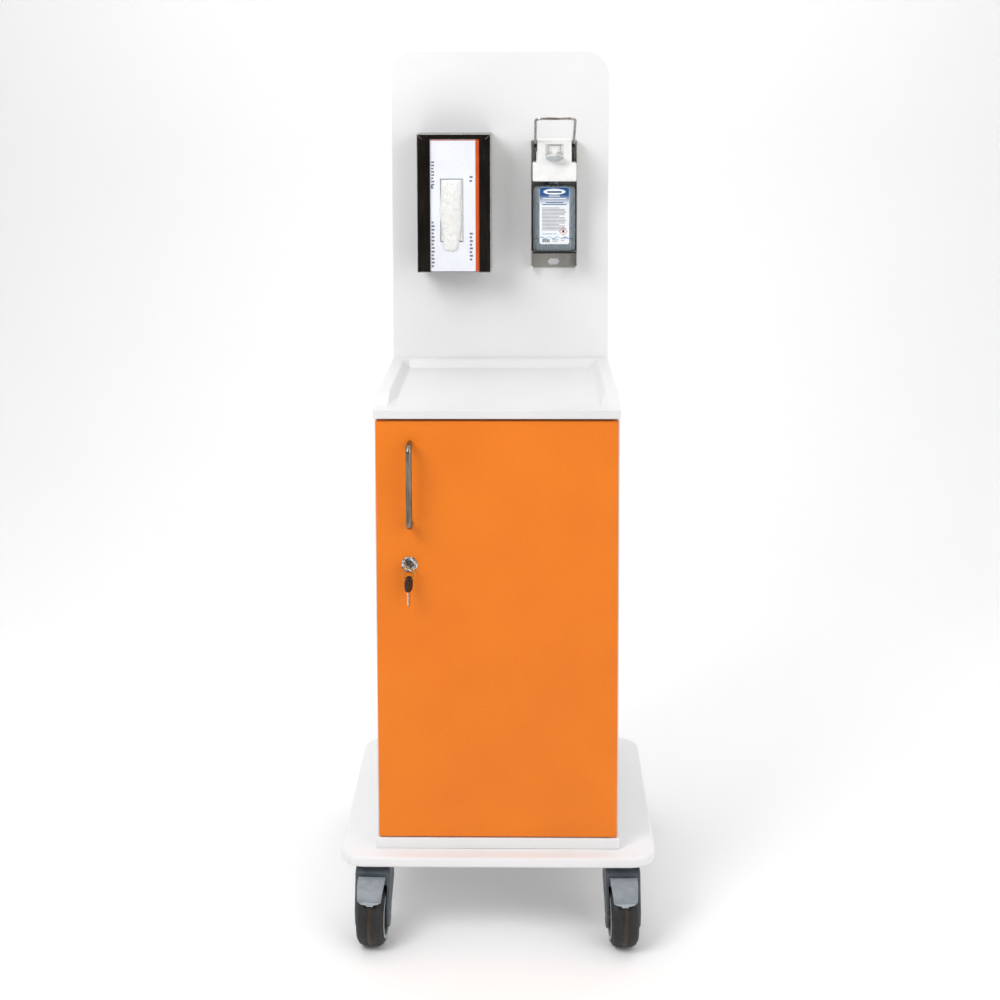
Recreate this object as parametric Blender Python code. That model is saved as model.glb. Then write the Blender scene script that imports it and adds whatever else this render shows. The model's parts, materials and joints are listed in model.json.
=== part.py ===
"""Bedside cabinet on castors: a narrow lockable cabinet with a moulded tray top, and a tall
back panel that carries a glove-carton holder and an elbow-lever disinfectant dispenser.

Frame: metres, +Z up, origin on the floor under the middle of the base board.
+X is to the right of someone who faces the door, -Y is towards that person.
"""
import math

import bmesh
import bpy
from mathutils import Matrix, Vector

# ---------------------------------------------------------------- driving dimensions
TOUCH = 0.0003            # gap kept between pieces that touch

BOARD_T = 0.018           # laminated board thickness
CASTER_H = 0.134          # floor to the underside of the base board

BASE_W = 0.522            # base board, left to right
BASE_D = 0.502            # base board, front to back
BASE_R = 0.043            # plan radius of its corners
BASE_EDGE = 0.004         # softened edge

BODY_INSET = 0.061        # base board edge to the side panels
BODY_SETBACK = 0.098      # base board depth past the side panels, front and back together
FLOOR_PAST = 0.002        # cabinet floor board past each side panel
FLOOR_LIP = 0.001         # how far the cabinet floor runs past the door's face
DOOR_INSET = 0.033        # base board edge to the door's face

DOOR_H = 0.700
DOOR_SIDE_GAP = 0.003     # the door is this much narrower on each side than the body
DOOR_EDGE = 0.0015        # rounded edge of the door's lipping
DOOR_GAP = 0.002          # door to cabinet floor, and door to side panels
DOOR_TOP_GAP = 0.0045     # door to tray

PANEL_RISE = 0.5972       # back panel above the tray's underside
PANEL_R = 0.043           # its top corners

TRAY_LIP_T = 0.0155       # thickness at the tray's front
TRAY_DISH = 0.002         # tray floor below the front lip
TRAY_RIM_H = 0.013        # rim above the lip
TRAY_RIM_W = 0.020        # flat top of the rim
TRAY_COVE = 0.012         # sloping inner side of the rim
TRAY_OVERHANG = 0.006     # tray past the door's face
TRAY_RAMP_START = 0.036   # from the tray's front to the foot of the rim's ramp
TRAY_RAMP_END = 0.099     # from the tray's front to the top of the ramp

SHELF_UNDER = 0.1148      # lock's centre to the underside of the shelf
SHELF_SETBACK = 0.022     # shelf front behind the side panels' front edges
PIN_R = 0.0025
PIN_OUT = 0.009           # shelf pin past the side panel
PIN_IN = 0.009            # shelf pin inside the side panel

HANDLE_IN = 0.0558        # door's free edge to the handle
HANDLE_DROP = 0.1026      # door's top to the middle of the handle
HANDLE_SPAN = 0.132       # centre to centre of its legs
HANDLE_ROD = 0.010
HANDLE_REACH = 0.035      # door face to the front of the rod
HANDLE_BEND = 0.010
HANDLE_SCREW_R = 0.002

LOCK_IN = 0.0538          # door's free edge to the lock
LOCK_DROP = 0.2375        # door's top to the lock
LOCK_FACE_R = 0.0132
LOCK_FACE_T = 0.0035
LOCK_BODY_R = 0.0095
LOCK_BODY_PAST = 0.008    # lock body behind the door's back
LOCK_PLUG_R = 0.0062
LOCK_REST = math.radians(40)   # key turned this far from the locked position
CAM_LEN = 0.036
CAM_W = 0.014
CAM_T = 0.002
NUT_R = 0.0135
NUT_T = 0.003
FIT = 0.0004              # running clearance of turned pieces
STRIKE_BEHIND = 0.0042    # door's back to the strike's flange
STRIKE_D = 0.026
STRIKE_REACH = 0.012
STRIKE_T = 0.0015
STRIKE_H = 0.024

KEY_BOW_W = 0.0184
KEY_BOW_L = 0.021
KEY_T = 0.0022
KEY_HOLE_R = 0.0036
RING_R = 0.0095
RING_WIRE = 0.0014
SPARE_HEAD_W = 0.021
SPARE_HEAD_H = 0.026
SPARE_HEAD_T = 0.0052
SPARE_TURN = math.radians(66)  # how far the hanging key is turned from facing the front
SPARE_BLADE_L = 0.024
SPARE_BLADE_W = 0.0068

HINGE_RISE = 0.0897       # door's foot to the lower hinge
HINGE_DROP = 0.0903       # door's top to the upper hinge
CUP_R = 0.0175
CUP_DEPTH = 0.0115
CUP_EDGE = 0.022          # cup centre to the door's edge
HINGE_ARM_L = 0.062
HINGE_ARM_W = 0.017
HINGE_ARM_H = 0.011

HOLDER_X = -0.0822        # centre of the glove-carton holder
HOLDER_W = 0.133
HOLDER_H = 0.250
HOLDER_D = 0.084
HOLDER_DROP = 0.1495      # back panel's top to the holder's top
HOLDER_T = 0.0015         # sheet thickness
HOLDER_FLANGE_L = 0.0235
HOLDER_FLANGE_R = 0.0205
HOLDER_TOP_LIP = 0.009
CARTON_W = 0.126
CARTON_H = 0.242
CARTON_D = 0.079
CARTON_PLAY = 0.001       # carton to the holder's shelf and flanges
CARTON_MOUTH_W = 0.042
CARTON_MOUTH_H = 0.115
CARTON_MOUTH_X = -0.0862
CARTON_MOUTH_DROP = 0.0801  # holder's top to the top of the mouth
CARTON_MOUTH_DEEP = 0.030
GLOVE_OUT = 0.006

DISP_X = 0.0993           # centre of the dispenser
DISP_W = 0.0846           # its wall bracket
DISP_T = 0.0015
DISP_DROP = 0.400         # back panel's top to the bracket's foot
DISP_H = 0.236            # height of the bracket
DISP_RAIL = 0.024         # depth of the bracket's side rails
DISP_SHELF_UP = 0.0345    # this and the next heights are above the bracket's foot
DISP_SHELF_D = 0.070
HOUSING_W = 0.0790
HOUSING_NECK_W = 0.0610
HOUSING_D = 0.056
HOUSING_BACK = 0.022      # panel to the back of the housing
HOUSING_BOTTOM_UP = 0.1649
HOUSING_WAIST_UP = 0.1980
HOUSING_TOP_UP = 0.2398
POCKET_W = 0.034
POCKET_BOTTOM_UP = 0.2095
POCKET_TOP_UP = 0.2322
POCKET_D = 0.030
PLUNGER_W = 0.0197
PLUNGER_H = 0.0125
PLUNGER_D = 0.020
SPOUT_W = 0.0385
SPOUT_H = 0.0125
SPOUT_OUT = 0.016
LEVER_PIVOT_D = 0.045     # panel to the lever's pivot axis
LEVER_PIVOT_UP = 0.2235
LEVER_BAR_D = 0.170
LEVER_BAR_UP = 0.2800
LEVER_ROD = 0.005
LEVER_W = 0.0690          # between the centres of the lever's arms
LEVER_HUB_W = 0.0064
LEVER_HUB_L = 0.026
BOTTLE_W = 0.0760
BOTTLE_D = 0.060
BOTTLE_NECK_R = 0.012
BOTTLE_NECK_H = 0.006
DIP_TUBE_R = 0.0022

CASTER_IN_X = 0.0565      # base board's side edge to the stem axis
CASTER_IN_Y = 0.0460      # base board's front or back edge to the stem axis
CASTER_TRAIL = 0.034
CASTER_TOE = math.radians(3)
WHEEL_R = 0.050
WHEEL_W = 0.045
WHEEL_GROOVE_W = 0.009
WHEEL_GROOVE = 0.010
WHEEL_BORE = 0.0045
AXLE_R = 0.004
FORK_W = 0.057
FORK_T = 0.004
PLATE_SIZE = 0.058
PLATE_T = 0.003
STEM_R = 0.011
STEM_H = 0.002
PEDAL_W = 0.045
PEDAL_T = 0.0045

# ---------------------------------------------------------------- derived places
BASE_TOP = CASTER_H + BOARD_T
BODY_W = BASE_W - 2 * BODY_INSET
BODY_D = BASE_D - BODY_SETBACK                     # side panel depth, up to the back panel
FLOOR_W = BODY_W + 2 * FLOOR_PAST
FRONT_Y = -BASE_D / 2 + DOOR_INSET                 # door's face
DOOR_BACK_Y = FRONT_Y + BOARD_T
SIDE_FRONT_Y = DOOR_BACK_Y + DOOR_GAP
SIDE_BACK_Y = SIDE_FRONT_Y + BODY_D - DOOR_GAP * 2
PANEL_Y = SIDE_BACK_Y + TOUCH                      # front face of the back panel
FLOOR_Z = BASE_TOP + TOUCH + BOARD_T               # top of the cabinet floor
DOOR_Z = FLOOR_Z + DOOR_GAP
DOOR_TOP = DOOR_Z + DOOR_H
TRAY_Z = DOOR_TOP + DOOR_TOP_GAP                   # underside of the tray
TRAY_FRONT = FRONT_Y - TRAY_OVERHANG
LIP_Z = TRAY_Z + TRAY_LIP_T
DOOR_W = BODY_W - 2 * DOOR_SIDE_GAP
INSIDE_X = BODY_W / 2 - BOARD_T
SIDE_Z0 = FLOOR_Z + TOUCH
SIDE_Z1 = TRAY_Z - TOUCH
HANDLE_X = -DOOR_W / 2 + HANDLE_IN
HANDLE_Z = DOOR_TOP - HANDLE_DROP
LOCK_X = -DOOR_W / 2 + LOCK_IN
LOCK_Z = DOOR_TOP - LOCK_DROP
LOCK_BODY_L = BOARD_T + LOCK_BODY_PAST             # lock body behind the door's face
SHELF_Z = LOCK_Z - SHELF_UNDER
HINGE_Z = (DOOR_Z + HINGE_RISE, DOOR_TOP - HINGE_DROP)
PANEL_TOP = TRAY_Z + PANEL_RISE
HOLDER_TOP = PANEL_TOP - HOLDER_DROP
CARTON_MOUTH_TOP = HOLDER_TOP - CARTON_MOUTH_DROP
DISP_BOTTOM = PANEL_TOP - DISP_DROP
DISP_TOP = DISP_BOTTOM + DISP_H
DISP_SHELF_Z = DISP_BOTTOM + DISP_SHELF_UP
HOUSING_BOTTOM = DISP_BOTTOM + HOUSING_BOTTOM_UP
HOUSING_WAIST = DISP_BOTTOM + HOUSING_WAIST_UP
HOUSING_TOP = DISP_BOTTOM + HOUSING_TOP_UP
POCKET_BOTTOM = DISP_BOTTOM + POCKET_BOTTOM_UP
POCKET_TOP = DISP_BOTTOM + POCKET_TOP_UP
LEVER_PIVOT_Z = DISP_BOTTOM + LEVER_PIVOT_UP
LEVER_BAR_Z = DISP_BOTTOM + LEVER_BAR_UP
CASTER_X = BASE_W / 2 - CASTER_IN_X
CASTER_Y = BASE_D / 2 - CASTER_IN_Y


# ---------------------------------------------------------------- materials and objects
def material(name, colour, roughness, metallic=0.0):
    """A plain surface: base colour, roughness and how metallic it is."""
    mat = bpy.data.materials.new(name)
    mat.use_nodes = True
    shader = mat.node_tree.nodes["Principled BSDF"]
    shader.inputs["Base Color"].default_value = (*colour, 1.0)
    shader.inputs["Roughness"].default_value = roughness
    shader.inputs["Metallic"].default_value = metallic
    return mat


def make(name, bm, mat, parent=None, origin=(0, 0, 0), smooth=None):
    """Turn a bmesh drawn in world coordinates into an object with its origin at `origin`."""
    bmesh.ops.recalc_face_normals(bm, faces=bm.faces)
    bmesh.ops.translate(bm, verts=bm.verts, vec=-Vector(origin))
    mesh = bpy.data.meshes.new(name)
    bm.to_mesh(mesh)
    bm.free()
    if smooth is not None:
        mesh.shade_smooth()
        mesh.set_sharp_from_angle(angle=math.radians(smooth))
    obj = bpy.data.objects.new(name, mesh)
    bpy.context.scene.collection.objects.link(obj)
    obj.data.materials.append(mat)
    obj.location = origin
    if parent is not None:
        attach(obj, parent)
    return obj


def attach(obj, parent):
    """Parent an object and keep it where it is."""
    bpy.context.view_layer.update()
    obj.parent = parent
    obj.matrix_parent_inverse = parent.matrix_world.inverted()


def pivot(name, place, rotation_z=0.0, parent=None):
    """An empty on a joint's axis."""
    empty = bpy.data.objects.new(name, None)
    empty.empty_display_size = 0.02
    bpy.context.scene.collection.objects.link(empty)
    empty.location = place
    empty.rotation_euler = (0, 0, rotation_z)
    if parent is not None:
        attach(empty, parent)
    bpy.context.view_layer.update()
    return empty


def bevel(obj, width, segments=2, angle=30):
    """Round the sharp edges of an object."""
    mod = obj.modifiers.new("soft_edges", "BEVEL")
    mod.width = width
    mod.segments = segments
    mod.limit_method = "ANGLE"
    mod.angle_limit = math.radians(angle)
    mod.harden_normals = False
    return mod


def boolean(obj, other, operation):
    """Cut or join with a hidden helper object."""
    other.hide_render = True
    other.display_type = "WIRE"
    mod = obj.modifiers.new(operation.lower(), "BOOLEAN")
    mod.operation = operation
    mod.solver = "EXACT"
    mod.object = other
    return mod


# ---------------------------------------------------------------- shapes
def box(x0, x1, y0, y1, z0, z1):
    """A box between two corners."""
    bm = bmesh.new()
    bmesh.ops.create_cube(bm, size=1.0)
    middle = Vector(((x0 + x1) / 2, (y0 + y1) / 2, (z0 + z1) / 2))
    bmesh.ops.scale(bm, verts=bm.verts, vec=(x1 - x0, y1 - y0, z1 - z0))
    bmesh.ops.translate(bm, verts=bm.verts, vec=middle)
    return bm


def arc(cx, cy, radius, start, stop, steps):
    """Points on an arc, angles in degrees."""
    span = [math.radians(start + (stop - start) * i / steps) for i in range(steps + 1)]
    return [(cx + radius * math.cos(a), cy + radius * math.sin(a)) for a in span]


def round_rect(w, h, radii, steps=6):
    """Outline of a rectangle round the origin; radii run from the +X+Y corner anticlockwise."""
    points = []
    corners = [(1, 1, 0), (-1, 1, 90), (-1, -1, 180), (1, -1, 270)]
    for (sx, sy, start), r in zip(corners, radii):
        if r <= 0:
            points.append((sx * w / 2, sy * h / 2))
        else:
            points += arc(sx * (w / 2 - r), sy * (h / 2 - r), r, start, start + 90, steps)
    return points


PLANES = {
    "XY": Matrix.Identity(4),
    "XZ": Matrix(((1, 0, 0, 0), (0, 0, 1, 0), (0, 1, 0, 0), (0, 0, 0, 1))),
    "YZ": Matrix(((0, 0, 1, 0), (1, 0, 0, 0), (0, 1, 0, 0), (0, 0, 0, 1))),
}


def prism(outline, plane, low, high):
    """Extrude an outline in a plane from `low` to `high` along the third axis."""
    bm = bmesh.new()
    verts = [bm.verts.new((a, b, low)) for a, b in outline]
    face = bm.faces.new(verts)
    made = bmesh.ops.extrude_face_region(bm, geom=[face])
    moved = [v for v in made["geom"] if isinstance(v, bmesh.types.BMVert)]
    bmesh.ops.translate(bm, verts=moved, vec=(0, 0, high - low))
    bmesh.ops.transform(bm, matrix=PLANES[plane], verts=bm.verts)
    return bm


def turned(profile, steps, place, axis="Z"):
    """Spin a closed (radius, height) profile round an axis through `place`."""
    bm = bmesh.new()
    rows = []
    for i in range(steps):
        a = 2 * math.pi * i / steps
        row = []
        for r, h in profile:
            row.append(bm.verts.new((r * math.cos(a), r * math.sin(a), h)) if r > 0 else None)
        rows.append(row)
    poles = {k: bm.verts.new((0, 0, h)) for k, (r, h) in enumerate(profile) if r <= 0}
    count = len(profile)
    closed = not poles
    for i in range(steps):
        here, there = rows[i], rows[(i + 1) % steps]
        for k in range(count if closed else count - 1):
            n = (k + 1) % count
            ring = [here[k] or poles.get(k), there[k] or poles.get(k)]
            ring += [there[n] or poles.get(n), here[n] or poles.get(n)]
            corner = list(dict.fromkeys(ring))
            if len(corner) > 2:
                bm.faces.new(corner)
    turn = {"Z": Matrix.Identity(4), "Y": Matrix.Rotation(math.pi / 2, 4, "X"),
            "X": Matrix.Rotation(math.pi / 2, 4, "Y")}[axis]
    bmesh.ops.transform(bm, matrix=Matrix.Translation(place) @ turn, verts=bm.verts)
    return bm


def disc(radius, low, high, steps, place, axis="Z"):
    """A plain cylinder; `low` and `high` are measured from `place` along the axis.

    Along Y the turned axis points to -Y, so a positive height is towards the front."""
    return turned([(0, low), (radius, low), (radius, high), (0, high)], steps, place, axis)


def tube(points, radius, sides, closed=False):
    """A round rod through a list of points, with flat ends."""
    bm = bmesh.new()
    rings = []
    total = len(points)
    side = None
    for i, point in enumerate(points):
        ahead = points[(i + 1) % total] if closed or i + 1 < total else point
        behind = points[i - 1] if closed or i > 0 else point
        along = (Vector(ahead) - Vector(behind)).normalized()
        if side is None:
            side = along.orthogonal().normalized()
        side = (side - along * side.dot(along)).normalized()
        up = along.cross(side)
        ring = []
        for k in range(sides):
            a = 2 * math.pi * k / sides
            offset = side * math.cos(a) * radius + up * math.sin(a) * radius
            ring.append(bm.verts.new(Vector(point) + offset))
        rings.append(ring)
    for i in range(total if closed else total - 1):
        here, there = rings[i], rings[(i + 1) % total]
        for k in range(sides):
            n = (k + 1) % sides
            bm.faces.new([here[k], here[n], there[n], there[k]])
    if not closed:
        bm.faces.new(rings[0])
        bm.faces.new(rings[-1])
    return bm


def bent(corners, radius, steps=6):
    """A route through corners, each inner corner rounded to a bend of `radius`."""
    points = [Vector(corners[0])]
    for before, corner, after in zip(corners, corners[1:], corners[2:]):
        a = (Vector(before) - Vector(corner)).normalized()
        b = (Vector(after) - Vector(corner)).normalized()
        half = a.angle(b) / 2
        reach = radius / math.tan(half)
        start, stop = Vector(corner) + a * reach, Vector(corner) + b * reach
        centre = Vector(corner) + (a + b).normalized() * radius / math.sin(half)
        u = (start - centre).normalized()
        v = (stop - centre).normalized()
        sweep = u.angle(v)
        w = (v - u * math.cos(sweep)).normalized()
        for i in range(steps + 1):
            t = sweep * i / steps
            points.append(centre + (u * math.cos(t) + w * math.sin(t)) * radius)
    points.append(Vector(corners[-1]))
    return points


# ---------------------------------------------------------------- cabinet body
def cabinet_body():
    """Boards of the cabinet, its shelf and shelf pins, the tray and the tall back panel."""
    white = material("white_laminate", (0.90, 0.90, 0.89), 0.42)
    base = prism(round_rect(BASE_W, BASE_D, [BASE_R] * 4), "XY", CASTER_H, BASE_TOP)
    base_obj = make("base_board", base, material("base_laminate", (0.86, 0.86, 0.86), 0.4))
    bevel(base_obj, BASE_EDGE, 2, 50)

    floor = box(-FLOOR_W / 2, FLOOR_W / 2, FRONT_Y - FLOOR_LIP, PANEL_Y + BOARD_T,
                BASE_TOP + TOUCH, FLOOR_Z)
    bevel(make("cabinet_floor", floor, white), 0.0008, 1)
    for name, x in (("side_panel_left", -BODY_W / 2), ("side_panel_right", INSIDE_X)):
        side = box(x, x + BOARD_T, SIDE_FRONT_Y, SIDE_BACK_Y, SIDE_Z0, SIDE_Z1)
        make(name, side, white)
    inner = INSIDE_X - TOUCH
    roof = box(-inner, inner, SIDE_FRONT_Y, SIDE_BACK_Y, SIDE_Z1 - BOARD_T, SIDE_Z1)
    make("cabinet_roof", roof, white)

    shelf_front = SIDE_FRONT_Y + SHELF_SETBACK
    shelf = box(-inner, inner, shelf_front, SIDE_BACK_Y - TOUCH, SHELF_Z, SHELF_Z + BOARD_T)
    make("shelf", shelf, white)
    steel = material("zinc_pin", (0.62, 0.62, 0.60), 0.3, 1.0)
    pin_z = SHELF_Z - TOUCH - PIN_R
    reach = SIDE_BACK_Y - shelf_front
    for row, y in (("front", shelf_front + reach * 0.12), ("rear", shelf_front + reach * 0.88)):
        for side, sx in (("left", -1), ("right", 1)):
            middle = (sx * INSIDE_X, y, pin_z)
            pin = disc(PIN_R, -PIN_OUT, PIN_IN, 16, middle, "X")
            if sx < 0:
                pin.free()
                pin = disc(PIN_R, -PIN_IN, PIN_OUT, 16, middle, "X")
            make("shelf_pin_" + row + "_" + side, pin, steel, smooth=40)
            hole = disc(PIN_R + TOUCH, -PIN_IN - TOUCH, PIN_IN + TOUCH, 16, middle, "X")
            cutter = make("pin_hole_" + row + "_" + side, hole, steel)
            boolean(bpy.data.objects["side_panel_" + side], cutter, "DIFFERENCE")

    outline = round_rect(BODY_W, PANEL_TOP - SIDE_Z0, [PANEL_R, PANEL_R, 0, 0], 8)
    middle_z = (PANEL_TOP + SIDE_Z0) / 2
    outline = [(x, z + middle_z) for x, z in outline]
    panel = prism(outline, "XZ", PANEL_Y, PANEL_Y + BOARD_T)
    bevel(make("back_panel", panel, white), 0.0008, 1, 50)


def tray_top():
    """Moulded tray: a dished floor with a rim on three sides that ramps down to a plain front."""
    back = PANEL_Y - TOUCH
    half = BODY_W / 2
    rim_top = LIP_Z + TRAY_RIM_H
    floor_z = LIP_Z - TRAY_DISH
    y_foot = TRAY_FRONT + TRAY_RAMP_START
    y_knee = TRAY_FRONT + TRAY_RAMP_END
    y_rear = back - TRAY_RIM_W
    stations = [(TRAY_FRONT, LIP_Z, LIP_Z), (TRAY_FRONT + 0.012, LIP_Z, floor_z),
                (y_foot, LIP_Z, floor_z), (y_knee, rim_top, floor_z),
                (y_rear - TRAY_COVE, rim_top, floor_z), (y_rear, rim_top, rim_top),
                (back, rim_top, rim_top)]
    bm = bmesh.new()
    rows = []
    for y, rim, floor in stations:
        edge = half - TRAY_RIM_W
        section = [(-half, TRAY_Z), (-half, rim), (-edge, rim), (-edge + TRAY_COVE, floor),
                   (edge - TRAY_COVE, floor), (edge, rim), (half, rim), (half, TRAY_Z)]
        rows.append([bm.verts.new((x, y, z)) for x, z in section])
    count = len(rows[0])
    for near, far in zip(rows, rows[1:]):
        for k in range(count):
            n = (k + 1) % count
            bm.faces.new([near[k], near[n], far[n], far[k]])
    bm.faces.new(rows[0])
    bm.faces.new(rows[-1])
    tray = make("tray_top", bm, material("moulded_tray", (0.91, 0.91, 0.90), 0.35), smooth=35)
    bevel(tray, 0.0018, 2, 30)


# ---------------------------------------------------------------- door
def door_set():
    """The door on its hinge axis, with its bow handle, cam lock, keys and hinges."""
    axis = pivot("door_axis", (DOOR_W / 2 + DOOR_SIDE_GAP / 2, DOOR_BACK_Y + DOOR_GAP / 2, DOOR_Z))
    panel = box(-DOOR_W / 2, DOOR_W / 2, FRONT_Y, DOOR_BACK_Y, DOOR_Z, DOOR_TOP)
    door = make("door", panel, material("orange_laminate", (0.82, 0.25, 0.03), 0.4), axis)
    bevel(door, DOOR_EDGE, 2, 50)
    handle(door, axis)
    lock(door, axis)
    hinges(door, axis)


def handle(door, axis):
    """Bow handle bent from round rod, held by two screws through the door."""
    nickel = material("satin_nickel", (0.55, 0.54, 0.50), 0.32, 1.0)
    low, high = HANDLE_Z - HANDLE_SPAN / 2, HANDLE_Z + HANDLE_SPAN / 2
    front = FRONT_Y - HANDLE_REACH + HANDLE_ROD / 2
    foot = FRONT_Y - TOUCH
    route = [(HANDLE_X, foot, low), (HANDLE_X, front, low), (HANDLE_X, front, high),
             (HANDLE_X, foot, high)]
    rod = tube(bent(route, HANDLE_BEND, 6), HANDLE_ROD / 2, 16)
    make("bow_handle", rod, nickel, axis, smooth=40)
    zinc = material("zinc_screw", (0.66, 0.66, 0.64), 0.35, 1.0)
    head = DOOR_BACK_Y + TOUCH
    for name, z in (("handle_screw_lower", low), ("handle_screw_upper", high)):
        shank = head - foot - TOUCH
        profile = [(0, -0.0022), (0.0036, -0.0022), (0.0042, 0), (HANDLE_SCREW_R, 0),
                   (HANDLE_SCREW_R, shank), (0, shank)]
        screw = turned(profile, 20, (HANDLE_X, head, z), "Y")
        make(name, screw, zinc, axis, smooth=40)
        hole = disc(HANDLE_SCREW_R + TOUCH, -0.004, BOARD_T + 0.004, 20,
                    (HANDLE_X, DOOR_BACK_Y, z), "Y")
        boolean(door, make(name + "_hole", hole, zinc), "DIFFERENCE")


def lock(door, axis):
    """Cam lock: fixed body and nut, and a turning plug, cam and key that carries a key ring."""
    chrome = material("chrome", (0.78, 0.78, 0.78), 0.08, 1.0)
    steel = material("key_steel", (0.62, 0.61, 0.57), 0.28, 1.0)
    place = (LOCK_X, FRONT_Y, LOCK_Z)
    bore = LOCK_PLUG_R + FIT
    face = LOCK_FACE_T
    lip = TOUCH
    rear = -LOCK_BODY_L
    shell = [(bore, face - 0.0006), (bore + 0.0012, face), (LOCK_FACE_R - 0.0022, face),
             (LOCK_FACE_R, face - 0.0020), (LOCK_FACE_R, lip), (LOCK_BODY_R, lip),
             (LOCK_BODY_R, rear), (bore, rear)]
    make("lock_body", turned(shell, 32, place, "Y"), chrome, axis, smooth=40)
    hole = disc(LOCK_BODY_R + TOUCH, -BOARD_T - 0.004, 0.004, 32, place, "Y")
    boolean(door, make("lock_hole", hole, chrome), "DIFFERENCE")
    nut_front = -BOARD_T - TOUCH
    nut_outline = [(NUT_R * math.cos(math.radians(60 * i)), NUT_R * math.sin(math.radians(60 * i)))
                   for i in range(6)]
    nut_outline = [(x + LOCK_X, z + LOCK_Z) for x, z in nut_outline]
    nut = prism(nut_outline, "XZ", FRONT_Y - nut_front, FRONT_Y - nut_front + NUT_T)
    nut_obj = make("lock_nut", nut, chrome, axis)
    nut_hole = disc(LOCK_BODY_R + TOUCH, -BOARD_T - 0.01, 0.0, 32, place, "Y")
    boolean(nut_obj, make("nut_bore", nut_hole, chrome), "DIFFERENCE")

    turn = pivot("lock_axis", place, parent=axis)
    square = 0.0035
    plug_back = rear - TOUCH
    plug = [(0, face - 0.0004), (LOCK_PLUG_R, face - 0.0004), (LOCK_PLUG_R, plug_back),
            (square, plug_back), (square, plug_back - CAM_T - 0.002),
            (0, plug_back - CAM_T - 0.002)]
    plug_obj = make("lock_plug", turned(plug, 24, place, "Y"), chrome, turn, place, 40)
    about = Matrix.Translation(place) @ Matrix.Rotation(LOCK_REST, 4, "Y")
    slot_w, slot_t = 0.0078, 0.0026
    slot = box(-slot_w / 2, slot_w / 2, -face - 0.002, 0.022, -slot_t / 2, slot_t / 2)
    bmesh.ops.transform(slot, matrix=about, verts=slot.verts)
    boolean(plug_obj, make("key_slot", slot, chrome), "DIFFERENCE")

    cam_y = -plug_back + TOUCH
    half = CAM_W / 2
    outline = [(-x, z) for x, z in arc(CAM_LEN - half, 0, half, -90, 90, 6)]
    outline += [(-x, z) for x, z in arc(0, 0, half, 90, 270, 10)]
    cam = prism(outline, "XZ", cam_y, cam_y + CAM_T)
    bore_hole = disc(square + TOUCH, -0.05, 0.05, 24, (0, 0, 0), "Y")
    cutter = make("cam_bore", bore_hole, steel)
    cutter.matrix_world = Matrix.Translation(place)
    bmesh.ops.transform(cam, matrix=about, verts=cam.verts)
    cam_obj = make("lock_cam", cam, material("zinc_cam", (0.64, 0.63, 0.58), 0.35, 1.0), turn, place)
    boolean(cam_obj, cutter, "DIFFERENCE")

    bow_near = -face - 0.0018
    bow_far = bow_near - KEY_BOW_L
    blade_w, blade_t = slot_w - 2 * TOUCH, slot_t - 2 * TOUCH
    bow = [(x, y + (bow_near + bow_far) / 2) for x, y in
           round_rect(KEY_BOW_W, KEY_BOW_L, [0.0085] * 4, 5)]
    key = prism(bow, "XY", -KEY_T / 2, KEY_T / 2)
    bmesh.ops.transform(key, matrix=about, verts=key.verts)
    key_obj = make("key_in_lock", key, steel, turn, place)
    blade = box(-blade_w / 2, blade_w / 2, bow_near - 0.002, 0.020, -blade_t / 2, blade_t / 2)
    bmesh.ops.transform(blade, matrix=about, verts=blade.verts)
    boolean(key_obj, make("key_blade_form", blade, steel), "UNION")
    hole_y = bow_far + 0.0062
    hole = disc(KEY_HOLE_R, -0.01, 0.01, 24, (0, hole_y, 0), "Z")
    bmesh.ops.transform(hole, matrix=about, verts=hole.verts)
    boolean(key_obj, make("key_hole_form", hole, steel), "DIFFERENCE")

    hang = Vector((LOCK_X, FRONT_Y + hole_y, LOCK_Z))
    swing = pivot("ring_axis", hang, parent=turn)
    centre = hang - Vector((0, 0, RING_R))
    loop = [centre + Vector((RING_R * math.sin(t), 0, RING_R * math.cos(t)))
            for t in (2 * math.pi * i / 32 for i in range(32))]
    brass = material("ring_wire", (0.62, 0.50, 0.25), 0.25, 1.0)
    make("key_ring", tube(loop, RING_WIRE / 2, 8, closed=True), brass, swing, hang, 60)

    low = hang - Vector((0, 0, 2 * RING_R))
    dangle = pivot("spare_key_axis", low, SPARE_TURN, parent=swing)
    spun = Matrix.Translation(low) @ Matrix.Rotation(SPARE_TURN, 4, "Z")
    hole_r = 0.0030
    top = hole_r - RING_WIRE / 2 - TOUCH
    middle = top + 0.0032 - SPARE_HEAD_H / 2
    head = [(x, z + middle) for x, z in
            round_rect(SPARE_HEAD_W, SPARE_HEAD_H, [0.0095] * 4, 6)]
    head = prism(head, "XZ", -SPARE_HEAD_T / 2, SPARE_HEAD_T / 2)
    bmesh.ops.transform(head, matrix=spun, verts=head.verts)
    black = material("black_plastic", (0.02, 0.02, 0.022), 0.4)
    head_obj = make("spare_key_head", head, black, dangle, low)
    bevel(head_obj, 0.0009, 2, 50)
    eye = disc(hole_r, -0.01, 0.01, 20, (0, 0, 0), "Y")
    bmesh.ops.transform(eye, matrix=spun, verts=eye.verts)
    boolean(head_obj, make("spare_key_eye", eye, black), "DIFFERENCE")
    foot = middle - SPARE_HEAD_H / 2 - TOUCH
    w = SPARE_BLADE_W / 2
    tip = foot - SPARE_BLADE_L
    blade = [(-w, foot), (-w, tip + 0.003), (0, tip), (w, tip + 0.003), (w, tip + 0.006),
             (w * 0.55, tip + 0.0085), (w, tip + 0.011), (w * 0.5, tip + 0.0145),
             (w, tip + 0.017), (w, foot)]
    blade = prism(blade, "XZ", -KEY_T / 2, KEY_T / 2)
    bmesh.ops.transform(blade, matrix=spun, verts=blade.verts)
    make("spare_key_blade", blade, steel, dangle, low)

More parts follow.
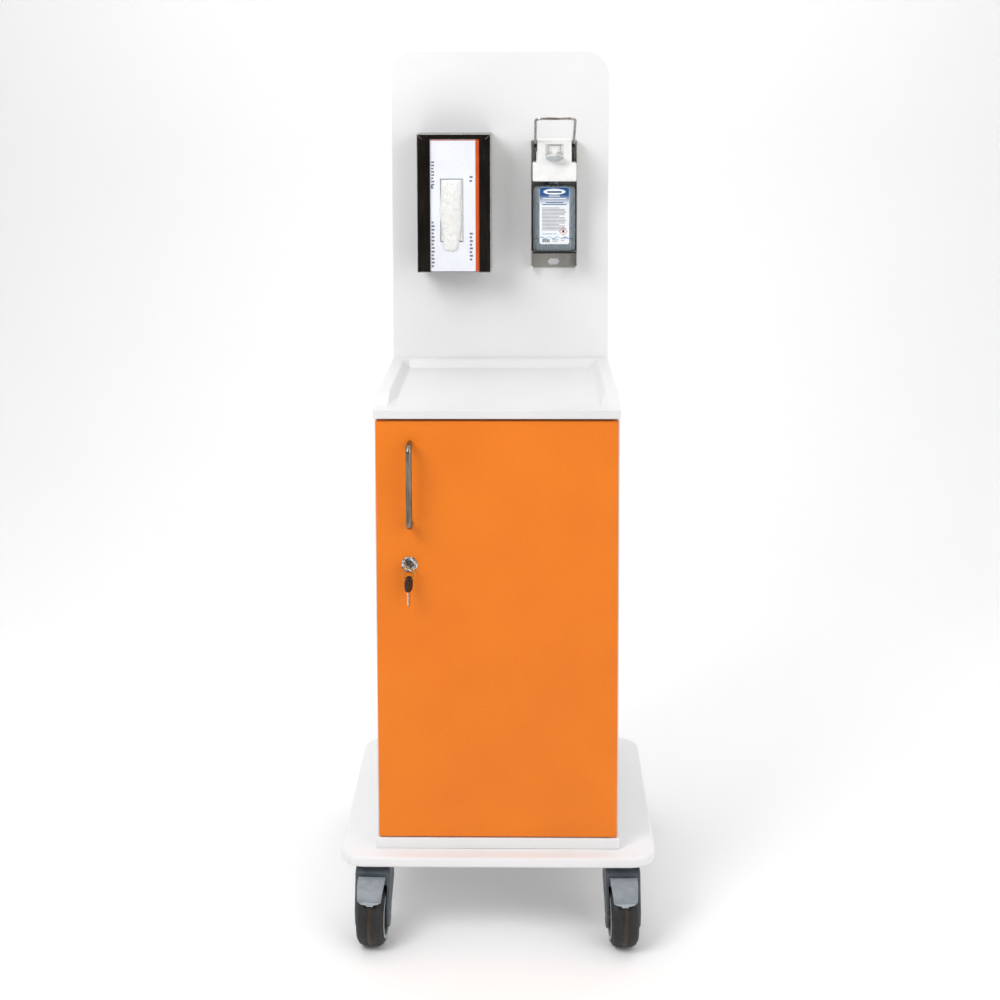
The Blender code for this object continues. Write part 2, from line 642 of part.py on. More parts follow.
    strike_mat = material("strike_steel", (0.60, 0.60, 0.58), 0.4, 1.0)
    front = DOOR_BACK_Y + STRIKE_BEHIND
    back = front + STRIKE_D
    near = -INSIDE_X + TOUCH
    leg = [(near, front), (near + STRIKE_REACH, front), (near + STRIKE_REACH, front + STRIKE_T),
           (near + STRIKE_T, front + STRIKE_T), (near + STRIKE_T, back), (near, back)]
    low, high = LOCK_Z - STRIKE_H / 2, LOCK_Z + STRIKE_H / 2
    make("lock_strike", prism(leg, "XY", low, high), strike_mat)


def hinges(door, axis):
    """Two concealed hinges: a cup sunk in the door's back and an arm on the side panel."""
    plated = material("hinge_nickel", (0.68, 0.67, 0.64), 0.25, 1.0)
    cup_x = DOOR_W / 2 - CUP_EDGE
    for name, z in zip(("lower", "upper"), HINGE_Z):
        place = (cup_x, DOOR_BACK_Y, z)
        wall = 0.0012
        cup = [(0, CUP_DEPTH), (CUP_R - 0.001, CUP_DEPTH), (CUP_R, CUP_DEPTH - 0.001),
               (CUP_R, -TOUCH), (CUP_R + 0.002, -TOUCH), (CUP_R + 0.002, -TOUCH - 0.0010),
               (CUP_R - wall, -TOUCH - 0.0010), (CUP_R - wall, CUP_DEPTH - wall),
               (0, CUP_DEPTH - wall)]
        make("hinge_cup_" + name, turned(cup, 32, place, "Y"), plated, axis, smooth=40)
        hole = disc(CUP_R + TOUCH, -0.004, CUP_DEPTH + TOUCH, 32, place, "Y")
        boolean(door, make("cup_hole_" + name, hole, plated), "DIFFERENCE")
        x1 = INSIDE_X - TOUCH
        y0 = SIDE_FRONT_Y + 0.004
        y1 = y0 + HINGE_ARM_L
        outline = [(x1, y0 + 0.014), (x1, y1), (x1 - 0.004, y1), (x1 - HINGE_ARM_H, y1 - 0.010),
                   (x1 - HINGE_ARM_H, y0 + 0.010), (x1 - HINGE_ARM_H - 0.004, y0),
                   (x1 - 0.006, y0), (x1 - 0.004, y0 + 0.010)]
        arm = prism(outline, "XY", z - HINGE_ARM_W / 2, z + HINGE_ARM_W / 2)
        bevel(make("hinge_arm_" + name, arm, plated), 0.0008, 1, 50)


# ---------------------------------------------------------------- glove-carton holder
def glove_holder():
    """Folded sheet holder on the back panel, with a glove carton and the glove in its mouth."""
    dark = material("dark_coating", (0.03, 0.026, 0.022), 0.3)
    card = material("carton_board", (0.90, 0.90, 0.92), 0.5)
    vinyl = material("vinyl", (0.85, 0.86, 0.86), 0.4)
    back = PANEL_Y - TOUCH
    front = back - HOLDER_D
    left, right = HOLDER_X - HOLDER_W / 2, HOLDER_X + HOLDER_W / 2
    top, low = HOLDER_TOP, HOLDER_TOP - HOLDER_H
    t = HOLDER_T
    holder = make("glove_holder", box(left, right, front, back, low, top), dark)
    inner_top = top - t
    cavity = box(left + t, right - t, front + t, back - t, low + t, inner_top)
    boolean(holder, make("holder_cavity", cavity, dark), "DIFFERENCE")
    window = box(left + HOLDER_FLANGE_L, right - HOLDER_FLANGE_R, front - 0.01, front + 0.01,
                 low - 0.01, top - HOLDER_TOP_LIP)
    boolean(holder, make("holder_window", window, dark), "DIFFERENCE")

    x0, x1 = HOLDER_X - CARTON_W / 2, HOLDER_X + CARTON_W / 2
    y0 = front + t + CARTON_PLAY
    z0 = low + t + TOUCH
    carton = box(x0, x1, y0, y0 + CARTON_D, z0, z0 + CARTON_H)
    carton_obj = make("glove_carton", carton, card)
    mouth_x = CARTON_MOUTH_X
    half = CARTON_MOUTH_W / 2
    mouth_low = CARTON_MOUTH_TOP - CARTON_MOUTH_H
    mouth = box(mouth_x - half, mouth_x + half, y0 - 0.01, y0 + CARTON_MOUTH_DEEP,
                mouth_low, CARTON_MOUTH_TOP)
    boolean(carton_obj, make("carton_mouth", mouth, card), "DIFFERENCE")

    margin = 0.0022
    outline = round_rect(2 * (half - margin), CARTON_MOUTH_H - 2 * margin, [0.012] * 4, 4)
    outline = [(x + mouth_x, z + (mouth_low + CARTON_MOUTH_TOP) / 2) for x, z in outline]
    glove = prism(outline, "XZ", y0 - GLOVE_OUT, y0 + CARTON_MOUTH_DEEP - 0.002)
    bevel(make("glove", glove, vinyl), 0.004, 2, 50)


# ---------------------------------------------------------------- disinfectant dispenser
def dispenser():
    """Wall bracket, pump housing with plunger and spout, elbow lever and bottle."""
    steel = material("stainless", (0.52, 0.50, 0.47), 0.3, 1.0)
    white = material("white_abs", (0.92, 0.92, 0.92), 0.3)
    black = material("black_nylon", (0.015, 0.015, 0.015), 0.45)
    back = PANEL_Y - TOUCH
    x0, x1 = DISP_X - DISP_W / 2, DISP_X + DISP_W / 2
    t = DISP_T
    channel = [(x0, back), (x1, back), (x1, back - DISP_RAIL), (x1 - t, back - DISP_RAIL),
               (x1 - t, back - t), (x0 + t, back - t), (x0 + t, back - DISP_RAIL),
               (x0, back - DISP_RAIL)]
    bracket = make("dispenser_bracket", prism(channel, "XY", DISP_BOTTOM, DISP_TOP), steel)
    ledge = box(x0 + t / 2, x1 - t / 2, back - DISP_SHELF_D, back - t / 2,
                DISP_SHELF_Z, DISP_SHELF_Z + t)
    boolean(bracket, make("bracket_ledge", ledge, steel), "UNION")
    notch_w, notch_h = 0.024, 0.012
    notch_z = DISP_BOTTOM + 0.011
    notch = [(notch_w / 2, 0), (notch_w * 0.3, notch_h / 2), (-notch_w * 0.3, notch_h / 2),
             (-notch_w / 2, 0), (-notch_w * 0.3, -notch_h / 2), (notch_w * 0.3, -notch_h / 2)]
    notch = [(x + DISP_X, z + notch_z) for x, z in notch]
    cut = prism(notch, "XZ", back - 0.01, back + 0.01)
    boolean(bracket, make("bracket_notch", cut, steel), "DIFFERENCE")

    h_back = back - HOUSING_BACK - t
    h_front = h_back - HOUSING_D
    wide, neck = HOUSING_W / 2, HOUSING_NECK_W / 2
    shape = [(-wide, HOUSING_BOTTOM), (wide, HOUSING_BOTTOM), (wide, HOUSING_WAIST),
             (neck, HOUSING_WAIST), (neck, HOUSING_TOP), (-neck, HOUSING_TOP),
             (-neck, HOUSING_WAIST), (-wide, HOUSING_WAIST)]
    shape = [(x + DISP_X, z) for x, z in shape]
    housing = make("pump_housing", prism(shape, "XZ", h_front, h_back), white)
    foot = box(DISP_X - neck, DISP_X + neck, h_back - 0.004, back - t - TOUCH,
               HOUSING_BOTTOM + 0.004, HOUSING_TOP - 0.006)
    boolean(housing, make("housing_back", foot, white), "UNION")
    bevel(housing, 0.0025, 2, 50)
    px = POCKET_W / 2
    pocket = box(DISP_X - px, DISP_X + px, h_front - 0.01, h_front + POCKET_D,
                 POCKET_BOTTOM, POCKET_TOP)
    boolean(housing, make("housing_pocket", pocket, white), "DIFFERENCE")

    plunger_y = h_front + 0.005
    plunger_z = POCKET_TOP - 0.0035 - PLUNGER_H
    plunger = box(DISP_X - PLUNGER_W / 2, DISP_X + PLUNGER_W / 2, plunger_y,
                  plunger_y + PLUNGER_D, plunger_z, plunger_z + PLUNGER_H)
    plunger_obj = make("pump_plunger", plunger, white, None, (DISP_X, plunger_y, plunger_z))
    bevel(plunger_obj, 0.0015, 2, 50)

    spout_top = POCKET_BOTTOM + 0.0005
    half = SPOUT_W / 2
    drop = [(half, 0)] + [(half * math.cos(a), -SPOUT_H * math.sin(a) ** 1.4)
                          for a in (math.pi * i / 12 for i in range(1, 12))] + [(-half, 0)]
    drop = [(x + DISP_X, z + spout_top) for x, z in drop]
    spout = prism(drop, "XZ", h_front - SPOUT_OUT, h_front - TOUCH)
    spout_obj = make("spout_shield", spout, material("grey_abs", (0.45, 0.44, 0.42), 0.35))
    bevel(spout_obj, 0.001, 1, 50)
    nozzle = turned([(0, -0.004), (0.0032, -0.004), (0.0036, 0.003), (0.0044, 0.003),
                     (0.0044, 0.0095), (0, 0.0095)], 20,
                    (DISP_X, h_front - SPOUT_OUT * 0.55, spout_top + 0.0045), "Z")
    make("nozzle", nozzle, white, smooth=40)

    lever(back, steel, black)
    bottle(back, h_front)


def lever(back, steel, black):
    """Elbow lever: a bent steel loop plugged into two black hubs that turn on the housing."""
    axis_y = back - LEVER_PIVOT_D
    axis = pivot("lever_axis", (DISP_X, axis_y, LEVER_PIVOT_Z))
    bar_y = back - LEVER_BAR_D
    rise = math.atan2(LEVER_BAR_Z - LEVER_PIVOT_Z, axis_y - bar_y)
    along = Vector((0, -math.cos(rise), math.sin(rise)))
    seat = LEVER_HUB_L * 0.45
    for name, sx in (("left", -1), ("right", 1)):
        x = DISP_X + sx * LEVER_W / 2
        outline = round_rect(LEVER_HUB_L, 0.012, [0.003, 0.0059, 0.0059, 0.003], 5)
        outline = [(-(u + LEVER_HUB_L / 2 - 0.006), v) for u, v in outline]
        hub = prism(outline, "YZ", -LEVER_HUB_W / 2, LEVER_HUB_W / 2)
        turn = Matrix.Translation((x, axis_y, LEVER_PIVOT_Z)) @ Matrix.Rotation(-rise, 4, "X")
        bmesh.ops.transform(hub, matrix=turn, verts=hub.verts)
        hub_obj = make("lever_hub_" + name, hub, black, axis, (DISP_X, axis_y, LEVER_PIVOT_Z))
        start = Vector((x, axis_y, LEVER_PIVOT_Z)) + along * (seat - 0.0005)
        stop = Vector((x, axis_y, LEVER_PIVOT_Z)) + along * 0.04
        bore = tube([start, stop], LEVER_ROD / 2 + TOUCH, 12)
        boolean(hub_obj, make("hub_bore_" + name, bore, black), "DIFFERENCE")
    root = Vector((0, axis_y, LEVER_PIVOT_Z)) + along * seat
    tip = Vector((0, bar_y, LEVER_BAR_Z))
    half = LEVER_W / 2
    route = [Vector((DISP_X - half, root.y, root.z)), Vector((DISP_X - half, tip.y, tip.z)),
             Vector((DISP_X + half, tip.y, tip.z)), Vector((DISP_X + half, root.y, root.z))]
    rod = tube(bent(route, 0.010, 6), LEVER_ROD / 2, 12)
    make("lever_loop", rod, steel, axis, (DISP_X, axis_y, LEVER_PIVOT_Z), 40)


def bottle(back, h_front):
    """Half-litre flat bottle that stands on the bracket's ledge, with its dip tube."""
    grey = material("bottle_grey", (0.30, 0.34, 0.36), 0.25)
    y1 = back - DISP_T - 0.002
    y0 = y1 - BOTTLE_D
    z0 = DISP_SHELF_Z + DISP_T + TOUCH
    z1 = HOUSING_BOTTOM - 0.0015 - BOTTLE_NECK_H
    mid_y = (y0 + y1) / 2
    plan = [(x + DISP_X, y + mid_y) for x, y in round_rect(BOTTLE_W, BOTTLE_D, [0.010] * 4, 5)]
    body = make("bottle", prism(plan, "XY", z0, z1), grey, smooth=40)
    neck = disc(BOTTLE_NECK_R, z1 - 0.002, z1 + BOTTLE_NECK_H, 32, (DISP_X, mid_y, 0))
    boolean(body, make("bottle_neck", neck, grey), "UNION")
    bevel(body, 0.003, 2, 60)
    well = disc(BOTTLE_NECK_R - 0.002, z0 + 0.010, z1 + 0.05, 32, (DISP_X, mid_y, 0))
    boolean(body, make("bottle_well", well, grey), "DIFFERENCE")
    clear = material("dip_tube_pe", (0.80, 0.80, 0.80), 0.4)
    stem = disc(DIP_TUBE_R, z0 + 0.014, HOUSING_BOTTOM - TOUCH, 12, (DISP_X, mid_y, 0))
    make("dip_tube", stem, clear, smooth=40)


# ---------------------------------------------------------------- castors
def caster(name, x, y, turn, braked):
    """Swivel castor with a hooded fork and a grooved wheel; two of the four have a brake pedal.

    Drawn with the wheel trailing towards -Y, then turned about its stem by `turn`."""
    grey = material("caster_hood", (0.20, 0.23, 0.25), 0.45)
    pale = material("caster_pedal", (0.36, 0.40, 0.42), 0.45)
    rubber = material("caster_tread", (0.035, 0.035, 0.038), 0.6)
    zinc = material("caster_zinc", (0.6, 0.6, 0.58), 0.35, 1.0)
    spot = Matrix.Translation((x, y, 0)) @ Matrix.Rotation(turn, 4, "Z")

    plate = round_rect(PLATE_SIZE, PLATE_SIZE, [0.006] * 4, 4)
    plate = prism([(a + x, b + y) for a, b in plate], "XY", CASTER_H - TOUCH - PLATE_T,
                  CASTER_H - TOUCH)
    plate_obj = make(name + "_plate", plate, zinc)
    stem_low = CASTER_H - TOUCH - PLATE_T - STEM_H
    stem = disc(STEM_R, stem_low, CASTER_H - 0.001, 24, (x, y, 0))
    boolean(plate_obj, make(name + "_stem", stem, zinc), "UNION")

    swivel = pivot(name + "_swivel_axis", (x, y, CASTER_H), turn)
    hub = (0, -CASTER_TRAIL, WHEEL_R)
    roof = stem_low - TOUCH
    rear = STEM_R + 0.010
    front = -CASTER_TRAIL - 0.006
    leg_r = 0.016
    side = [(rear, roof - 0.004), (rear - 0.004, roof), (front + 0.010, roof), (front, roof - 0.007),
            (front - 0.004, WHEEL_R + 0.046), (hub[1] - leg_r - 0.002, WHEEL_R + 0.012)]
    side += arc(hub[1], hub[2] - 0.006, leg_r, 180, 360, 10)
    side += [(hub[1] + leg_r + 0.006, WHEEL_R + 0.010), (rear, WHEEL_R + 0.040)]
    fork = prism(side, "YZ", -FORK_W / 2, FORK_W / 2)
    bmesh.ops.transform(fork, matrix=spot, verts=fork.verts)
    fork_obj = make(name + "_fork", fork, grey, swivel, (x, y, CASTER_H))
    bevel(fork_obj, 0.003, 2, 60)
    gap = FORK_W / 2 - FORK_T
    room_r = WHEEL_R + 0.004
    room = arc(hub[1], hub[2], room_r, 0, 118, 16)
    room += [(hub[1] - 0.09, hub[2] + room_r * math.sin(math.radians(118)))]
    room += [(hub[1] - 0.09, -0.01), (hub[1] + room_r, -0.01)]
    room = prism(room, "YZ", -gap, gap)
    bmesh.ops.transform(room, matrix=spot, verts=room.verts)
    boolean(fork_obj, make(name + "_wheel_room", room, grey), "DIFFERENCE")
    through = disc(AXLE_R + TOUCH, -0.05, 0.05, 16, hub, "X")
    bmesh.ops.transform(through, matrix=spot, verts=through.verts)
    boolean(fork_obj, make(name + "_axle_hole", through, grey), "DIFFERENCE")

    half, r = WHEEL_W / 2, WHEEL_R
    groove = WHEEL_GROOVE_W / 2
    rim = [(WHEEL_BORE, -half + 0.002), (0.022, -half + 0.002), (0.024, -half), (r - 0.009, -half),
           (r - 0.003, -half + 0.004), (r, -half + 0.011), (r, -groove),
           (r - WHEEL_GROOVE, -groove)]
    profile = rim + [(a, -b) for a, b in reversed(rim)]
    wheel = turned(profile, 32, hub, "X")
    bmesh.ops.transform(wheel, matrix=spot, verts=wheel.verts)
    wheel_at = spot @ Vector(hub)
    make(name + "_wheel", wheel, rubber, swivel, wheel_at, 35)
    axle = disc(AXLE_R, -FORK_W / 2 - 0.001, FORK_W / 2 + 0.001, 16, hub, "X")
    bmesh.ops.transform(axle, matrix=spot, verts=axle.verts)
    make(name + "_axle", axle, zinc, swivel, wheel_at, 40)

    if braked:
        hinge = Vector((0, front - 0.0042, roof - 0.013))
        skin = [(0.0, 0.0024), (-0.009, 0.0008), (-0.022, -0.0060), (-0.033, -0.0160),
                (-0.0375, -0.0235)]
        under = [(a + PEDAL_T * 0.35, b - PEDAL_T * 0.9) for a, b in reversed(skin)]
        outline = [(a + hinge.y, b + hinge.z) for a, b in skin + under]
        pedal = prism(outline, "YZ", -PEDAL_W / 2, PEDAL_W / 2)
        bmesh.ops.transform(pedal, matrix=spot, verts=pedal.verts)
        pedal_obj = make(name + "_brake_pedal", pedal, pale, swivel, spot @ hinge)
        bevel(pedal_obj, 0.0012, 2, 40)


def casters():
    """Four castors: the front pair has brakes and toes out, the rear pair trails backwards."""
    for name, sx, sy in (("caster_front_left", -1, -1), ("caster_front_right", 1, -1),
                         ("caster_rear_left", -1, 1), ("caster_rear_right", 1, 1)):
        turn = sx * CASTER_TOE if sy < 0 else math.pi
        caster(name, sx * CASTER_X, sy * CASTER_Y, turn, sy < 0)


def main():
    """Build the whole cabinet in an empty scene."""
    for obj in list(bpy.data.objects):
        bpy.data.objects.remove(obj, do_unlink=True)
    cabinet_body()
    tray_top()
    door_set()
    glove_holder()
    dispenser()
    casters()


main()
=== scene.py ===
"""Looks of a bedside cabinet on castors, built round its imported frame.

Laid out as an add-on: each group of pieces has an operator, and the sidebar panel lists them.
"""
import json
import math

import bmesh
import bpy
from mathutils import Matrix, Vector, noise


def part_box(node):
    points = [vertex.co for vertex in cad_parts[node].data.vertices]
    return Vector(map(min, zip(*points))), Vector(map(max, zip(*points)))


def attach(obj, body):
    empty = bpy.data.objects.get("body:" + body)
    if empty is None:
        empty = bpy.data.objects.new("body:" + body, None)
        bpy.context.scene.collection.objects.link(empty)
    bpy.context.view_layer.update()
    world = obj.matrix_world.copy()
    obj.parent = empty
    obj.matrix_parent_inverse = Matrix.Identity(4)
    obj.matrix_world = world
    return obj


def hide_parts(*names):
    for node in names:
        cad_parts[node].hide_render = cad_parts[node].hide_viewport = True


bl_info = {
    "name": "Bedside Cabinet",
    "version": (1, 0, 0),
    "blender": (4, 5, 0),
    "location": "View3D > Sidebar > Cabinet",
    "description": "Boards, door, fittings, dispenser, glove holder and castors of a bedside cabinet",
    "category": "Object",
}

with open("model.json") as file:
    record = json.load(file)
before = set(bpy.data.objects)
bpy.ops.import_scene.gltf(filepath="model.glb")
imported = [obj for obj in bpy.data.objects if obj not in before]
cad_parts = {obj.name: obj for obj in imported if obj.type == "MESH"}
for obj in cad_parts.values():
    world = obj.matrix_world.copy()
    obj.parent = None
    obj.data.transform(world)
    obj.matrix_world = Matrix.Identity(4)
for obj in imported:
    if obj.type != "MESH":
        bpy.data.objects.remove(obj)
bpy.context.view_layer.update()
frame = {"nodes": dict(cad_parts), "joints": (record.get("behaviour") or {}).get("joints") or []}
MM = 0.001
HOLDER_FLANGE_L = 23.5 * MM
HOLDER_FLANGE_R = 20.5 * MM
HOLDER_LIP = 9 * MM
MOUTH_W = 42 * MM
MOUTH_H = 115 * MM
MOUTH_X = -86.2 * MM
MOUTH_Z = 1.1869
WHEEL_W = 45 * MM


# ---------------------------------------------------------------- frame helpers
def lo(name):
    """Lowest corner of a CAD node."""
    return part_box(name)[0]


def hi(name):
    """Highest corner of a CAD node."""
    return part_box(name)[1]


def joint(name):
    """Position and axis of a joint at rest."""
    for item in frame["joints"]:
        if item["name"] == name:
            return Vector(item.get("pos_m", (0, 0, 0))), Vector(item["axis"]).normalized()
    raise KeyError(name)


def put(obj, body, material, stands_for=()):
    """Give a piece its material, its body and the CAD nodes it stands for."""
    obj.data.materials.clear()
    obj.data.materials.append(material)
    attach(obj, body)
    if stands_for:
        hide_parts(*stands_for)
    return obj


def paint(material, *names):
    """Give CAD nodes that keep their shape a finished material."""
    for name in names:
        obj = frame["nodes"][name]
        if not obj.material_slots:
            obj.data.materials.append(material)
        obj.material_slots[0].material = material


# ---------------------------------------------------------------- mesh helpers
def piece(name, bm, smooth=35):
    """Make an object from a bmesh drawn in the frame's own coordinates."""
    bmesh.ops.recalc_face_normals(bm, faces=bm.faces)
    mesh = bpy.data.meshes.new(name)
    bm.to_mesh(mesh)
    bm.free()
    mesh.shade_smooth()
    mesh.set_sharp_from_angle(angle=math.radians(smooth))
    obj = bpy.data.objects.new(name, mesh)
    bpy.context.scene.collection.objects.link(obj)
    return obj


def settle(obj):
    """Apply an object's modifiers."""
    graph = bpy.context.evaluated_depsgraph_get()
    mesh = bpy.data.meshes.new_from_object(obj.evaluated_get(graph))
    obj.modifiers.clear()
    obj.data = mesh
    return obj


def soften(obj, width, segments=3, angle=40):
    """Round the sharp edges and shade the result by its faces."""
    mod = obj.modifiers.new("soften", "BEVEL")
    mod.width = width
    mod.segments = segments
    mod.limit_method = "ANGLE"
    mod.angle_limit = math.radians(angle)
    mod.harden_normals = True
    return settle(obj)


def box_mesh(low, high):
    """A box between two corners."""
    bm = bmesh.new()
    bmesh.ops.create_cube(bm, size=1.0)
    low, high = Vector(low), Vector(high)
    bmesh.ops.scale(bm, verts=bm.verts, vec=high - low)
    bmesh.ops.translate(bm, verts=bm.verts, vec=(low + high) / 2)
    return bm


def arc(cx, cy, radius, start, stop, steps):
    """Points on an arc, angles in degrees."""
    turn = [math.radians(start + (stop - start) * i / steps) for i in range(steps + 1)]
    return [(cx + radius * math.cos(a), cy + radius * math.sin(a)) for a in turn]


def round_rect(w, h, radii, steps=12, at=(0, 0)):
    """Rounded rectangle; radii run from the high corner anticlockwise."""
    points = []
    corners = [(1, 1, 0), (-1, 1, 90), (-1, -1, 180), (1, -1, 270)]
    for (sx, sy, start), r in zip(corners, radii):
        if r <= 0:
            points.append((sx * w / 2, sy * h / 2))
        else:
            points += arc(sx * (w / 2 - r), sy * (h / 2 - r), r, start, start + 90, steps)
    return [(a + at[0], b + at[1]) for a, b in points]


LAY = {
    "XY": Matrix.Identity(4),
    "XZ": Matrix(((1, 0, 0, 0), (0, 0, 1, 0), (0, 1, 0, 0), (0, 0, 0, 1))),
    "YZ": Matrix(((0, 0, 1, 0), (1, 0, 0, 0), (0, 1, 0, 0), (0, 0, 0, 1))),
}


def prism(outline, plane, low, high, turn=None):
    """Extrude an outline from `low` to `high` along the plane's third axis."""
    bm = bmesh.new()
    face = bm.faces.new([bm.verts.new((a, b, low)) for a, b in outline])
    made = bmesh.ops.extrude_face_region(bm, geom=[face])["geom"]
    moved = [v for v in made if isinstance(v, bmesh.types.BMVert)]
    bmesh.ops.translate(bm, verts=moved, vec=(0, 0, high - low))
    matrix = LAY[plane] if turn is None else turn @ LAY[plane]
    bmesh.ops.transform(bm, matrix=matrix, verts=bm.verts)
    return bm


def turned(profile, place, axis, steps=64):
    """Spin an open (radius, height) profile about an axis; ends at radius 0 are closed."""
    bm = bmesh.new()
    rings = []
    for r, h in profile:
        if r <= 1e-7:
            rings.append([bm.verts.new((0, 0, h))] * steps)
            continue
        turn = [2 * math.pi * i / steps for i in range(steps)]
        rings.append([bm.verts.new((r * math.cos(a), r * math.sin(a), h)) for a in turn])
    for near, far in zip(rings, rings[1:]):
        for i in range(steps):
            n = (i + 1) % steps
            corner = list(dict.fromkeys([near[i], near[n], far[n], far[i]]))
            if len(corner) > 2:
                bm.faces.new(corner)
    matrix = Matrix.Translation(place) @ Vector(axis).to_track_quat("Z", "Y").to_matrix().to_4x4()
    bmesh.ops.transform(bm, matrix=matrix, verts=bm.verts)
    return bm


def rod(points, radius, sides=24, closed=False, ends=True):
    """A round bar along a list of points; `radius` may be one value or one for each point."""
    bm = bmesh.new()
    total = len(points)
    sizes = radius if isinstance(radius, (list, tuple)) else [radius] * total
    rings = []
    side = None
    for i, point in enumerate(points):
        ahead = points[(i + 1) % total] if closed or i + 1 < total else point
        behind = points[i - 1] if closed or i > 0 else point
        along = (Vector(ahead) - Vector(behind)).normalized()
        side = along.orthogonal().normalized() if side is None else side
        side = (side - along * side.dot(along)).normalized()
        up = along.cross(side)
        ring = []
        for k in range(sides):
            a = 2 * math.pi * k / sides
            ring.append(bm.verts.new(Vector(point) + (side * math.cos(a) + up * math.sin(a)) * sizes[i]))
        rings.append(ring)
    for i in range(total if closed else total - 1):
        here, there = rings[i], rings[(i + 1) % total]
        for k in range(sides):
            n = (k + 1) % sides
            bm.faces.new([here[k], here[n], there[n], there[k]])
    if ends and not closed:
        bm.faces.new(rings[0])
        bm.faces.new(rings[-1])
    return bm


def bent(corners, radius, steps=10):
    """A route through corners with each inner corner rounded."""
    points = [Vector(corners[0])]
    for before, corner, after in zip(corners, corners[1:], corners[2:]):
        a = (Vector(before) - Vector(corner)).normalized()
        b = (Vector(after) - Vector(corner)).normalized()
        half = a.angle(b) / 2
        reach = radius / math.tan(half)
        start, stop = Vector(corner) + a * reach, Vector(corner) + b * reach
        centre = Vector(corner) + (a + b).normalized() * radius / math.sin(half)
        u, v = (start - centre).normalized(), (stop - centre).normalized()
        sweep = u.angle(v)
        w = (v - u * math.cos(sweep)).normalized()
        for i in range(steps + 1):
            t = sweep * i / steps
            points.append(centre + (u * math.cos(t) + w * math.sin(t)) * radius)
    points.append(Vector(corners[-1]))
    return points


def loft(sections, caps=True):
    """Skin closed loops of equal length, in order."""
    bm = bmesh.new()
    rings = [[bm.verts.new(p) for p in section] for section in sections]
    for near, far in zip(rings, rings[1:]):
        for i in range(len(near)):
            n = (i + 1) % len(near)
            bm.faces.new([near[i], near[n], far[n], far[i]])
    if caps:
        bm.faces.new(rings[0])
        bm.faces.new(rings[-1])
    return bm


def smoothstep(low, high, value):
    """Ease from 0 at `low` to 1 at `high`."""
    t = min(max((value - low) / (high - low), 0.0), 1.0)
    return t * t * (3 - 2 * t)


# ---------------------------------------------------------------- materials
def linear(code):
    """sRGB hex to a linear colour."""
    channel = [int(code[i:i + 2], 16) / 255 for i in (1, 3, 5)]
    return (*[c / 12.92 if c <= 0.04045 else ((c + 0.055) / 1.055) ** 2.4 for c in channel], 1.0)


def tint(colour):
    """A linear colour with alpha, from an sRGB hex or from one of the colour settings."""
    return linear(colour) if isinstance(colour, str) else (*colour, 1.0)


def node(tree, kind, settings=None, inputs=None):
    """Add a node with its settings; inputs are values, or sockets to link from."""
    made = tree.nodes.new(kind)
    for key, value in (settings or {}).items():
        setattr(made, key, value)
    for key, value in (inputs or {}).items():
        if isinstance(value, bpy.types.NodeSocket):
            tree.links.new(value, made.inputs[key])
        else:
            made.inputs[key].default_value = value
    return made


def surface(name, **sockets):
    """Start a material with its constant values set on the shader's own sockets."""
    material = bpy.data.materials.new(name)
    material.use_nodes = True
    shader = material.node_tree.nodes["Principled BSDF"]
    for key, value in sockets.items():
        shader.inputs[key.replace("_", " ")].default_value = value
    return material, material.node_tree, shader


def grained(name, dark, light, grain_mm, stretch=(1, 1, 1), rough=(0.4, 0.5), depth_mm=0.02,
            cloud_mm=60, **sockets):
    """A finish whose grain, of one real size, carries its colour, gloss and relief together."""
    material, tree, shader = surface(name, **sockets)
    place = node(tree, "ShaderNodeTexCoord").outputs["Object"]
    drawn = node(tree, "ShaderNodeMapping", inputs={"Vector": place, "Scale": stretch})
    grain = node(tree, "ShaderNodeTexNoise", inputs={
        "Vector": drawn.outputs["Vector"], "Scale": 1 / (grain_mm * MM), "Detail": 4.0})
    cloud = node(tree, "ShaderNodeTexNoise", inputs={
        "Vector": place, "Scale": 1 / (cloud_mm * MM), "Detail": 2.0})
    both = node(tree, "ShaderNodeMath", {"operation": "MULTIPLY_ADD"}, {
        0: cloud.outputs["Fac"], 1: 0.4, 2: 0.0})
    summed = node(tree, "ShaderNodeMath", {"operation": "MULTIPLY_ADD"}, {
        0: grain.outputs["Fac"], 1: 0.6, 2: both.outputs["Value"]})
    ramp = node(tree, "ShaderNodeValToRGB", inputs={"Fac": summed.outputs["Value"]})
    ramp.color_ramp.elements[0].position = 0.35
    ramp.color_ramp.elements[0].color = tint(dark)
    ramp.color_ramp.elements[1].position = 0.65
    ramp.color_ramp.elements[1].color = tint(light)
    gloss = node(tree, "ShaderNodeMapRange", inputs={
        "Value": summed.outputs["Value"], "From Min": 0.35, "From Max": 0.65,
        "To Min": rough[0], "To Max": rough[1]})
    raised = node(tree, "ShaderNodeBump", inputs={
        "Height": grain.outputs["Fac"], "Distance": depth_mm * MM, "Strength": 0.8})
    tree.links.new(ramp.outputs["Color"], shader.inputs["Base Color"])
    tree.links.new(gloss.outputs["Result"], shader.inputs["Roughness"])
    tree.links.new(raised.outputs["Normal"], shader.inputs["Normal"])
    return material


